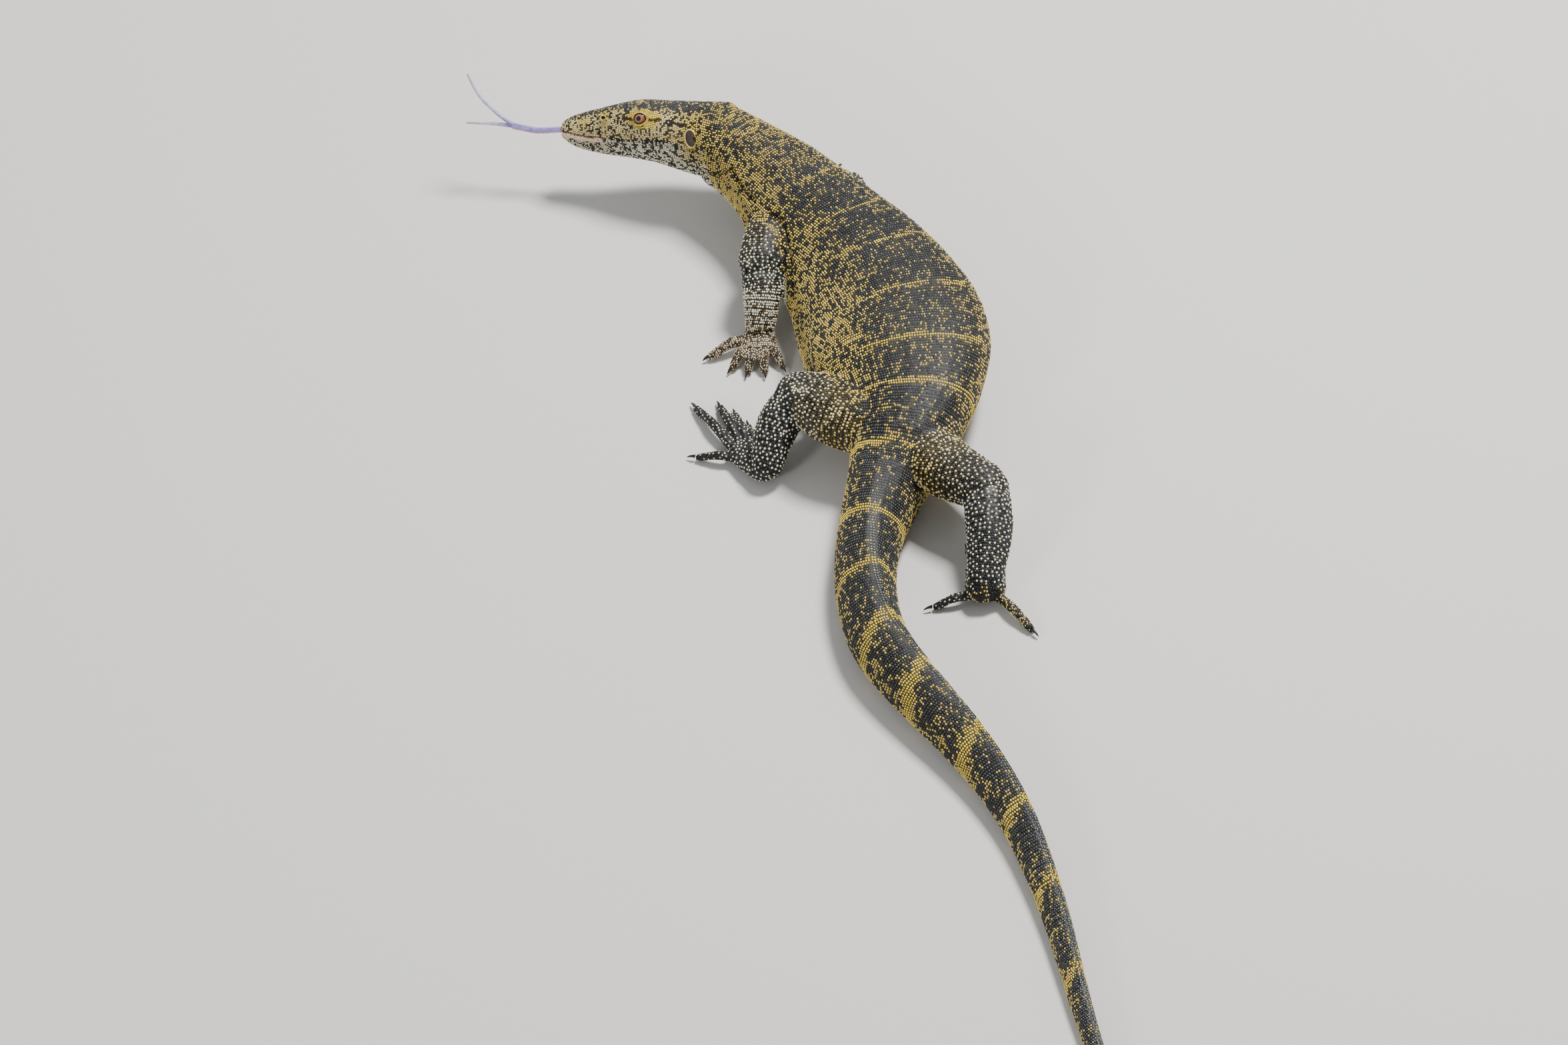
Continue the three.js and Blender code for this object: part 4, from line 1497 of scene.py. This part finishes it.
        # Pale scales are cream, yellow behind and white below, dark ones slate on the crown, else rusty
        warm = blend(self.cream, self.yellow, 0.1 + 0.5 * luck)
        warm = blend(warm, self.olive, crown * 0.7)
        warm = blend(warm, self.white, jaw * (0.5 + 0.4 * luck))
        warm = blend(warm, self.ochre * 1.2, jaw * bell(back, 22, 18) * 0.35)
        behind = ease(back, 82, 104) * 0.8
        warm = blend(warm, self.yellow, behind * (1 - ease(-up / low, 0.35, 0.75)))
        warm = blend(warm, self.bright * np.array([0.98, 1.0, 1.3]), glow * 0.85)
        dark = blend(self.black, self.slate, 0.15 + crown * 0.75 * rng.random(len(points)))
        dark = blend(dark, self.rust, 0.5 * (1 - crown) * (1 - jaw))
        dark[corner] = self.rust
        warm = blend(warm, self.white, ease(-up / low, 0.75, 1.0))
        return np.where(lit[:, None], warm, dark)


# Lengths along the body at which rows and pitches are given
ALONG = (0, 60, 160, 400, 700, 1186)

BODY_PARTS = ("head", "neck", "shoulders", "trunk", "hips", "tail_front", "tail_end")
PARTS = (*BODY_PARTS, *("leg_" + leg for leg in LEGS))
FIRST_LEG = len(BODY_PARTS)


@dataclass
class Hide:
    """All the scales: set in rows on the skin, coloured and made into pieces."""

    spine: Spine
    head: Head
    legs: list[Leg]
    markings: Markings
    shape: ScaleShape = field(default_factory=ScaleShape)
    # On the head the painted shade at the scales' sunk edges is lighter
    face_shape: ScaleShape = field(default_factory=lambda: ScaleShape(cover=0.47, rim=0.34))
    steps: tuple[float, ...] = (1.8, 2.0, 2.25, 2.3, 2.7, 2.1)
    pitches: tuple[float, ...] = (1.5, 1.65, 1.72, 1.74, 1.85, 1.45)
    crowd: float = 0.74
    raised: float = 0.52
    low: float = 0.28
    face_low: float = 0.24
    fill_rounds: int = 3
    fill_tries: int = 160000
    seed: int = 5

    def row_step(self, along: float) -> float:
        """The distance between rows at a distance along the body."""
        return float(np.interp(along, ALONG, self.steps))

    def row_pitch(self, along: float) -> float:
        """The distance between scales in a row at a distance along the body."""
        return float(np.interp(along, ALONG, self.pitches))

    def head_rows(self) -> Rows:
        """Fine scales in rows over the head.

        Returns:
            Places, directions and sizes.
        """
        places, lies, sizes = [], [], []
        back, end, odd = 0.4, 122, 0.0
        while back < end:
            pitch = float(np.interp(back, [0, 60, end], [1.15, 1.45, 1.75]))
            row, _ = step_round(self.head.section(back, ROUND), pitch, 8, odd)
            places.append(row)
            lies.append(np.repeat(-self.head.forward[None, :], len(row), axis=0))
            sizes.append(np.full((len(row), 2), pitch))
            back += pitch * 0.92
            odd = 0.5 - odd
        return np.vstack(places), np.vstack(lies), np.vstack(sizes)

    def ring_rows(
        self,
        middle: np.ndarray,
        axis: np.ndarray,
        span: tuple[float, float],
        radii: Sequence[float],
        size: float,
    ) -> Rows:
        """Small scales in rings round an opening of the head.

        Args:
            middle: The opening's middle.
            axis: The direction that it faces.
            span: Half its length along the head and half its height, for a radius of one.
            radii: The rings' radii.
            size: The scales' size.

        Returns:
            Places, directions and sizes.
        """
        wide, tall = span
        fore = self.head.fore(axis)
        rise = np.cross(fore, axis)
        places, lies = [], []
        for radius in radii:
            count = max(8, round(math.pi * radius * (wide + tall) / size))
            turns = (np.arange(count) + 0.5 * (len(places) % 2)) / count * 2 * math.pi
            out = np.cos(turns)[:, None] * fore * wide * radius
            out = out + np.sin(turns)[:, None] * rise * tall * radius
            places.append(middle + out)
            lies.append(unit(np.cross(out, axis)))
        joined = np.vstack(places)
        return joined, np.vstack(lies), np.full((len(joined), 2), size)

    def lip_rows(self, side: float) -> Rows:
        """Larger scales in a row above and below the line of the mouth.

        Args:
            side: 1 for the left, -1 for the right.

        Returns:
            Places, directions and sizes.
        """
        back = np.arange(1.5, 88.0, 1.35)
        half = np.interp(back, self.head.table[:, 0], self.head.table[:, 1])
        rows = [
            self.head.place(back + shift, side * half, self.head.mouth_height(back) + height)
            for height, shift in ((1.5, 0.0), (-1.7, 0.6))
        ]
        places = np.vstack(rows)
        lies = np.repeat(-self.head.forward[None, :], len(places), axis=0)
        return places, lies, np.full((len(places), 2), 1.3)

    def crest_rows(self) -> Rows:
        """The double row of longer scales along the top of the tail.

        Returns:
            Places, directions and sizes.
        """
        spine = self.spine
        reach = np.arange(470.0, spine.length[-1] - 2.0, 2.5)
        index = np.minimum(np.searchsorted(spine.length, reach), spine.samples - 1)
        half, above, lean, keel = (spine.table[index, k] for k in (3, 4, 6, 8))
        height = above + keel
        places = [
            spine.centre[index]
            + (lean * height + side * 0.95)[:, None] * spine.side[index]
            + height[:, None] * spine.top[index]
            for side in (-1.0, 1.0)
        ]
        sizes = np.array([2.7, 1.9]) * np.tile(0.55 + 0.45 * ease(half, 3, 14), 2)[:, None]
        return np.vstack(places), np.tile(spine.along[index], (2, 1)), sizes

    def gather(self, skin: Surface) -> Coat:
        """Sets every scale on the skin.

        Args:
            skin: The skin.

        Returns:
            The whole coat.
        """
        coat, head, spine = Coat(), self.head, self.spine
        for _, side in SIDES:
            rings = (
                (head.lid, head.gaze(side), (1.2, 0.95), (4.7, 5.5, 6.3), 0.9),
                (head.ear, head.left * side, head.ear_size, (1.15, 1.38), 1.3),
                (head.nostril, head.gaze(side), (1.0, 1.0), (2.7,), 0.95),
            )
            for spot, axis, span, radii, size in rings:
                middle = head.beside(spot, side)
                coat.add(skin, self.ring_rows(middle, axis, span, radii, size), 3.0, Rank.RAISED)
            coat.add(skin, self.lip_rows(side), 3.0, Rank.LIP)
        coat.add(skin, self.head_rows(), 2.6, Rank.HEAD)
        laws = (self.row_step, self.row_pitch)
        coat.add(skin, spine.rows(22.0, 118.0, *laws), 7.0, Rank.BODY)
        coat.add(skin, spine.rows(119.0, spine.length[-1], *laws), 2.6, Rank.BODY)
        coat.add(skin, self.crest_rows(), 4.0, Rank.RAISED)
        for leg in self.legs:
            for toe in leg.toes:
                coat.add(skin, toe.rows(1.7, 1.45, 0.8), 1.8, Rank.TOE)
            step, pitch = (2.35, 2.15) if leg.name.startswith("hind") else (2.15, 1.95)
            coat.add(skin, leg.limb.rows(step, pitch, 0.74), 3.0, Rank.LIMB)
        coat.merge()
        coat.keep(~head.bare(coat.places[0]) & (coat.places[0][:, 2] > ROOT_HEIGHT))
        coat.thin(self.crowd)
        rng = np.random.default_rng(self.seed)
        for _ in range(self.fill_rounds):
            coat.fill(skin, head.bare, self.fill_tries, rng)
        return coat

    def parts(self, points: np.ndarray) -> np.ndarray:
        """Sorts places into the head, body lengths and legs.

        Args:
            points: Where the scales are.

        Returns:
            A number for each: 0 head, 1 to 6 along the body, 7 to 10 the legs.
        """
        spine = self.spine
        along, _, _ = spine.locate(points)
        part = 1 + np.searchsorted(LENGTHS[1:-1], along)
        sample = np.minimum(np.searchsorted(spine.length, along), spine.samples - 1)
        middle = [np.interp(along, spine.length, spine.centre[:, k]) for k in range(3)]
        body_share = np.linalg.norm(points - np.stack(middle, axis=1), axis=1) / spine.table[sample, 3]
        for index, leg in enumerate(self.legs):
            _, _, share = leg.limb.locate(points)
            for toe in leg.toes:
                share = np.minimum(share, toe.locate(points)[2])
            outside = (body_share > 1.04) | (share < body_share * 0.7)
            part[(share < 1.35) & outside & (along > 90) & (along < 520)] = FIRST_LEG + index
        back, left, up = self.head.measure(points)
        part[(back < 112) & (np.abs(left) < 26) & (along < 60)] = 0
        return part

    def unwrap(self, part: int, points: np.ndarray) -> np.ndarray:
        """Lays roots out flat by the skin's own shape.

        Args:
            part: Which part of the hide.
            points: Where the scales are.

        Returns:
            Two numbers from 0 to 1 for each.
        """
        if part == 0:
            back, left, up = self.head.measure(points)
            first, second = back / 118.0, np.arctan2(left, up) / (2 * math.pi) + 0.5
        elif part < FIRST_LEG:
            along, angle, _ = self.spine.locate(points)
            first = (along - LENGTHS[part - 1]) / (LENGTHS[part] - LENGTHS[part - 1])
            second = angle / (2 * math.pi) + 0.5
        else:
            leg = self.legs[part - FIRST_LEG]
            along, angle, share = leg.limb.locate(points)
            first = along / leg.limb.length[-1] * 0.5
            second = angle / (2 * math.pi) + 0.5
            for index, toe in enumerate(leg.toes):
                reach, turn, near = toe.locate(points)
                closer = (near < share) & (along > leg.limb.length[-1] * 0.8)
                first = np.where(closer, 0.54 + 0.44 * reach / toe.length[-1], first)
                second = np.where(closer, (index + 0.08 + 0.84 * (turn / (2 * math.pi) + 0.5)) / 5, second)
                share = np.minimum(share, near)
        return np.clip(np.stack([first, second], axis=1), 0.0, 1.0) * 0.98 + 0.01

    def build(self, skin: Surface, material: bpy.types.Material) -> tuple[np.ndarray, np.ndarray]:
        """Makes all the scales.

        Args:
            skin: The skin.
            material: What scales are made of.

        Returns:
            The places and colours of all the scales.
        """
        coat = self.gather(skin)
        places, facing, lies, sizes, ranks = (rows[0] for rows in coat.lists())
        part = self.parts(places)
        tints = np.zeros((len(places), 3))
        for index, name in enumerate(PARTS):
            mine = np.flatnonzero(part == index)
            if not len(mine):
                continue
            rng = np.random.default_rng(self.seed + 100 + index)
            if index == 0:
                colours = self.markings.face(places[mine], rng)
            elif index < FIRST_LEG:
                colours = self.markings.body(places[mine], rng)
            else:
                colours = self.markings.limb(self.legs[index - FIRST_LEG], places[mine], rng)
            tints[mine] = colours
            lit = colours.max(axis=1) > 0.2
            more, stray = (0.14, 0.09) if index >= FIRST_LEG else (0.04, 0.045)
            vary = 0.9 + 0.14 * rng.random(len(mine)) + more * lit
            size = sizes[mine] * vary[:, None]
            nudge = rng.normal(0.0, stray, (len(mine), 3)) * size[:, 1:]
            nudge -= (nudge * facing[mine]).sum(1, keepdims=True) * facing[mine]
            shape = self.shape if index else self.face_shape
            tallness = self.face_low
            if index:
                tallness = np.where(ranks[mine] == Rank.RAISED.value, self.raised, self.low)
            piece = shape.build(
                "scales_" + name,
                places[mine] + nudge,
                facing[mine],
                lies[mine],
                size,
                size.min(axis=1) * tallness,
                colours,
                self.unwrap(index, places[mine]),
            )
            finish_piece(piece, material)
            LOG.info("%s: %d scales", piece.name, len(mine))
        return places, tints


def paint_skin(skin: bpy.types.Object, head: Head, places: np.ndarray, tints: np.ndarray) -> None:
    """Gives the skin between the scales a dark cast of their own colours.

    Args:
        skin: The skin's object.
        head: The head's frame.
        places: Where the scales are.
        tints: Their colours.
    """
    tree = plant(places)
    points = read_points(skin)
    nearest = np.array([tree.find(point)[1] for point in points])
    back, left, up = head.measure(points)
    face = (1 - ease(back, 88, 112)) * (np.abs(left) < 30)
    colours = paint(15, 14, 14) + (0.05 + 0.3 * face)[:, None] * tints[nearest]

    # The lower lip's bare skin, the red lining of the mouth darkened along its gap as painted shade, and
    # painted shade along the crease at its corner
    half = np.interp(back, head.table[:, 0], head.table[:, 1])
    rise = up - head.mouth_height(back)
    slit = np.abs(rise)
    inside = (back > -2) & (back < head.mouth_end) & (slit < 1.2) & (np.abs(left) < half - 1.0)
    lip = (rise > -3.2) & (rise < 0) & (back > -2) & (back < 32)
    colours[lip] = paint(224, 194, 164)
    # Red mouth lining, darkened along the gap as painted shade
    colours[(slit < 0.7) & (back > -2) & (back < 38)] = paint(70, 22, 22)
    colours[inside & (back < 34)] = paint(96, 30, 32)
    # Painted shade: a near black line along the pressed crease at the corner of the mouth
    colours[(back > 38) & (back < head.mouth_end + 4) & (slit < 0.9)] = paint(24, 16, 14)
    write_tint(skin, colours)


@dataclass
class Eyes:
    """Both eyeballs: a dark pupil in a red brown iris, under a clear polish."""

    head: Head
    pupil_edge: tuple[float, float] = (19.0, 22.0)
    iris_edge: tuple[float, float] = (44.0, 54.0)
    light_ring: tuple[float, float] = (23.5, 2.0)

    def build(self, material: bpy.types.Material) -> None:
        """Makes both eyes."""
        for name, side in SIDES:
            self.ball(name, side, material)

    def ball(self, name: str, side: float, material: bpy.types.Material) -> None:
        """Makes one eye.

        Args:
            name: Its side's name.
            side: 1 for the left, -1 for the right.
            material: What it is made of.
        """
        head = self.head
        centre = head.beside(head.eye, side)
        clear_selection()
        bpy.ops.mesh.primitive_uv_sphere_add(segments=48, ring_count=32, radius=head.eye_radius * MM)
        ball = bpy.context.object
        ball.name = ball.data.name = "eyeball_" + name
        turn = Vector((0, 0, 1)).rotation_difference(Vector(head.gaze(side)))
        points = read_points(ball)
        turned = points @ np.array(turn.to_matrix()).T
        off = np.degrees(np.arccos(np.clip(points[:, 2] / head.eye_radius, -1, 1)))
        rays = cloud(unit(points) * 9.0, 1.0, 77)
        iris, fleck, ring = paint(104, 46, 30), paint(150, 82, 54), paint(206, 160, 100)
        pupil, rim = paint(8, 7, 8), paint(30, 22, 20)
        colours = blend(iris, fleck, rays * 0.8)
        colours = blend(colours, ring, 0.7 * bell(off, *self.light_ring))
        colours = blend(colours, pupil, 1 - ease(off, *self.pupil_edge))
        colours = blend(colours, rim, ease(off, *self.iris_edge))
        write_points(ball, turned + centre)
        write_tint(ball, colours)
        finish_piece(ball, material)
        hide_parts("eye_" + name)


@dataclass
class Openings:
    """The lid edges, nostrils and ear drums."""

    head: Head
    material: bpy.types.Material

    def seat(
        self,
        piece: bpy.types.Object,
        middle: np.ndarray,
        axis: np.ndarray,
        form: np.ndarray,
        tints: np.ndarray,
    ) -> None:
        """Turns a form so that it faces out of an opening, and finishes it.

        Args:
            piece: The piece.
            middle: The opening's middle.
            axis: The direction that it faces.
            form: The piece's vertices: forward along the head, up and out.
            tints: Their colours.
        """
        fore = self.head.fore(axis)
        rise = np.cross(axis, fore)
        write_points(piece, middle + form[:, :1] * fore + form[:, 1:2] * rise + form[:, 2:] * axis)
        write_tint(piece, tints)
        finish_piece(piece, self.material)

    def ring(
        self,
        name: str,
        middle: np.ndarray,
        axis: np.ndarray,
        sizes: tuple[float, float, float],
        dome: float,
        shade: np.ndarray,
    ) -> None:
        """Makes a rounded ring round an opening.

        Args:
            name: The piece's name.
            middle: The opening's middle.
            axis: The direction that it faces.
            sizes: Half length, half height and thickness.
            dome: The radius of the ball round the middle that the ring lies on, or 0.
            shade: Its colour.
        """
        thickness = 0.4
        clear_selection()
        bpy.ops.mesh.primitive_torus_add(
            major_segments=40, minor_segments=10, major_radius=MM, minor_radius=thickness * MM
        )
        ring = bpy.context.object
        ring.name = ring.data.name = name
        points = read_points(ring)
        spoke = unit(points * np.array([1, 1, 0]))
        tube = (points - spoke) / thickness * sizes[2]
        path = spoke * np.array([sizes[0], sizes[1], 0])
        path[:, 2] = np.sqrt(np.maximum(dome**2 - (path**2).sum(1), 0.0))
        self.seat(ring, middle, axis, path + tube, np.tile(shade, (len(points), 1)))

    def drum(
        self,
        name: str,
        middle: np.ndarray,
        axis: np.ndarray,
        sizes: tuple[float, float, float],
        shade: np.ndarray,
    ) -> None:
        """Makes a dished skin that closes an opening, painted lighter in its middle and darker towards its
        edge: a painted highlight and painted shade.

        Args:
            name: The piece's name.
            middle: The opening's middle.
            axis: The direction that it faces.
            sizes: Half its length, half its height and how deep its middle lies.
            shade: Its colour.
        """
        clear_selection()
        bpy.ops.mesh.primitive_uv_sphere_add(segments=32, ring_count=16, radius=MM)
        drum = bpy.context.object
        drum.name = drum.data.name = name
        points = read_points(drum)
        wide, tall, dish = sizes
        reach = np.hypot(points[:, 0], points[:, 1])
        depth = np.where(points[:, 2] > 0, -dish * (1 - reach**2), -dish - 0.6 * np.abs(points[:, 2]))
        form = np.stack([points[:, 0] * wide, points[:, 1] * tall, depth], axis=1)
        # Painted highlight in the middle of the dish and painted shade towards its edge
        self.seat(drum, middle, axis, form, blend(shade * 1.3, shade * 0.6, reach**4))

    def build(self) -> None:
        """Makes the openings of both sides."""
        head = self.head
        for name, side in SIDES:
            gaze = head.gaze(side)
            eye = head.beside(head.eye, side)
            self.ring("lid_edge_" + name, eye, gaze, (4.25, 3.6, 0.42), 5.7, paint(46, 28, 20))
            self.ring("lid_fold_" + name, eye, gaze, (5.1, 4.3, 0.62), 5.75, paint(226, 200, 96))
            hole = head.beside(head.nostril, side)
            face = unit(head.left * side + head.up * 0.55)
            rim = (1.95, 1.6, 0.4)
            self.ring("nostril_rim_" + name, hole + face * 0.9, face, rim, 0.0, paint(190, 168, 88))
            # The nostril's drum is a dark dish of painted shade standing in the hole
            self.drum("nostril_" + name, hole + face * 0.8, face, (1.6, 1.3, 0.8), paint(30, 22, 18))
            ear = head.beside((head.ear[0], head.ear[1] - 0.1, head.ear[2]), side)
            outward = unit(head.left * side - head.forward * 0.12)
            self.drum("ear_drum_" + name, ear, outward, (3.7, 6.3, 0.6), paint(74, 64, 60))
            rim = (3.85, 6.5, 0.5)
            self.ring("ear_rim_" + name, ear + outward * 0.1, outward, rim, 0.0, paint(222, 202, 132))


@dataclass
class Claws:
    """All twenty claws, smoothed from the solids."""

    nodes: tuple[str, ...] = tuple(f"leg_{leg}_claw_{k}" for leg in LEGS for k in range(1, 6))

    def build(self, material: bpy.types.Material) -> None:
        """Makes the claws as one piece.

        Args:
            material: What they are made of.
        """
        claws = copy_nodes("claws", self.nodes)
        apply_modifier(claws, "SUBSURF", levels=2, render_levels=2)
        points = read_points(claws)
        shade = paint(34, 28, 24) * (0.7 + 0.9 * cloud(points, 1.6, 51))[:, None]
        write_tint(claws, shade)
        finish_piece(claws, material)
        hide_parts(*self.nodes)


@dataclass
class Tongue:
    """The long forked tongue."""

    head: Head

    def build(self, material: bpy.types.Material) -> None:
        """Makes the tongue.

        Args:
            material: What it is made of.
        """
        tongue = copy_nodes("tongue_flesh", ("tongue",))
        apply_modifier(tongue, "REMESH", mode="VOXEL", voxel_size=0.3 * MM)
        relax(tongue, 12)
        points = read_points(tongue)
        back, _, _ = self.head.measure(points)
        under = ease(-(read_normals(tongue) @ self.head.up), 0.0, 0.7)
        violet, lilac = paint(118, 112, 176), paint(150, 140, 190)
        pink, pale = paint(196, 132, 160), paint(206, 200, 208)
        colours = blend(violet, lilac, cloud(points, 2.0, 61))
        colours = blend(colours, pink, under * 0.8)
        colours = blend(colours, pale, ease(-back, 34, 60) * 0.7)
        write_tint(tongue, colours)
        finish_piece(tongue, material)
        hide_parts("tongue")


@dataclass(frozen=True)
class Lamp:
    """A soft light: its place, width, power in watts and whether it shows in shiny surfaces."""

    name: str
    place: tuple[float, float, float]
    size: float
    power: float
    glint: bool


@dataclass
class Studio:
    """The pale floor, soft lights and the camera at the photograph's angle."""

    elevation: float = 42.0
    roll: float = 12.0
    distance: float = 11.67
    lens: float = 400.0
    sensor: float = 36.0
    image: tuple[int, int] = (2352, 1568)
    origin: tuple[float, float] = (1330.0, 560.0)
    lamps: tuple[Lamp, ...] = (
        Lamp("key", (1.7, 1.1, 3.5), 0.9, 320.0, True),
        Lamp("fill", (-2.4, -2.4, 1.6), 0.7, 40.0, False),
    )
    sky: tuple[float, float, float] = (0.9, 0.95, 1.0)
    sky_strength: float = 0.5

    def camera(self) -> None:
        """Sets the camera."""
        rise, turn = math.radians(self.elevation), math.radians(self.roll)
        towards = np.array([0, -math.cos(rise), math.sin(rise)])
        level, upright = np.array([1.0, 0, 0]), np.array([0, math.sin(rise), math.cos(rise)])
        right = math.cos(turn) * level - math.sin(turn) * upright
        up = math.sin(turn) * level + math.cos(turn) * upright
        pixels = self.lens / self.sensor * self.image[0]
        shift_x = (self.origin[0] - self.image[0] / 2) / pixels
        shift_y = -(self.origin[1] - self.image[1] / 2) / pixels
        place = (towards - right * shift_x - up * shift_y) * self.distance
        camera = bpy.data.objects.new("camera", bpy.data.cameras.new("camera"))
        bpy.context.scene.collection.objects.link(camera)
        camera.data.lens = self.lens
        camera.data.sensor_width = self.sensor
        camera.data.clip_start = 0.05
        camera.data.clip_end = 100.0
        camera.matrix_world = Matrix(
            [[right[k], up[k], towards[k], place[k]] for k in range(3)] + [[0.0, 0.0, 0.0, 1.0]]
        )
        bpy.context.scene.camera = camera

    def floor(self) -> None:
        """Lays the floor."""
        clear_selection()
        bpy.ops.mesh.primitive_plane_add(size=30.0, location=(0, 0, -0.0003))
        floor = bpy.context.object
        floor.name = "floor"
        floor.data.materials.append(FloorFinish().make())

    def light(self, kind: Lamp) -> None:
        """Hangs one soft light that faces the model."""
        lamp = bpy.data.lights.new(kind.name, "AREA")
        lamp.size = kind.size
        lamp.energy = kind.power
        hung = bpy.data.objects.new(kind.name, lamp)
        bpy.context.scene.collection.objects.link(hung)
        hung.location = kind.place
        hung.visible_glossy = kind.glint
        hung.rotation_mode = "QUATERNION"
        hung.rotation_quaternion = (Vector((0, 0, 0)) - Vector(kind.place)).to_track_quat("-Z", "Y")

    def build(self) -> None:
        """Sets the whole stage."""
        self.camera()
        self.floor()
        for kind in self.lamps:
            self.light(kind)
        world = bpy.data.worlds.new("studio")
        bpy.context.scene.world = world
        world.use_nodes = True
        backdrop = world.node_tree.nodes["Background"]
        backdrop.inputs["Color"].default_value = (*self.sky, 1.0)
        backdrop.inputs["Strength"].default_value = self.sky_strength


HIDE = TintFinish("hide", roughness=0.55, specular=0.3)
SCALE = TintFinish("scale", roughness=0.45, specular=0.4, mottle=0.18)
EYE = TintFinish(
    "eye", roughness=0.5, specular=0.2, coat=1.0, coat_roughness=0.02, grain_height=0.0, mottle=0.1
)
CLAW = TintFinish("claw", roughness=0.3, grain_size=900.0)
TONGUE = TintFinish("tongue", roughness=0.28, coat=0.4, grain_size=900.0)


def main() -> None:
    """Builds the model."""
    logging.basicConfig(level=logging.INFO, format="%(name)s: %(message)s")
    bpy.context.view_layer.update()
    spine, head, legs = Spine(), Head(), lizard_legs()
    Studio().build()
    hide, scale = HIDE.make(), SCALE.make()
    flesh = Skin()
    skin = flesh.build(head)
    LOG.info("skin: %d faces", len(skin.data.polygons))
    coat = Hide(spine, head, legs, Markings(spine, head, legs))
    places, tints = coat.build(Surface(skin), scale)
    paint_skin(skin, head, places, tints)
    finish_piece(skin, hide)
    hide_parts(*flesh.nodes)
    Eyes(head).build(EYE.make())
    Openings(head, hide).build()
    Claws().build(CLAW.make())
    Tongue(head).build(TONGUE.make())


if __name__ == "__main__":
    main()
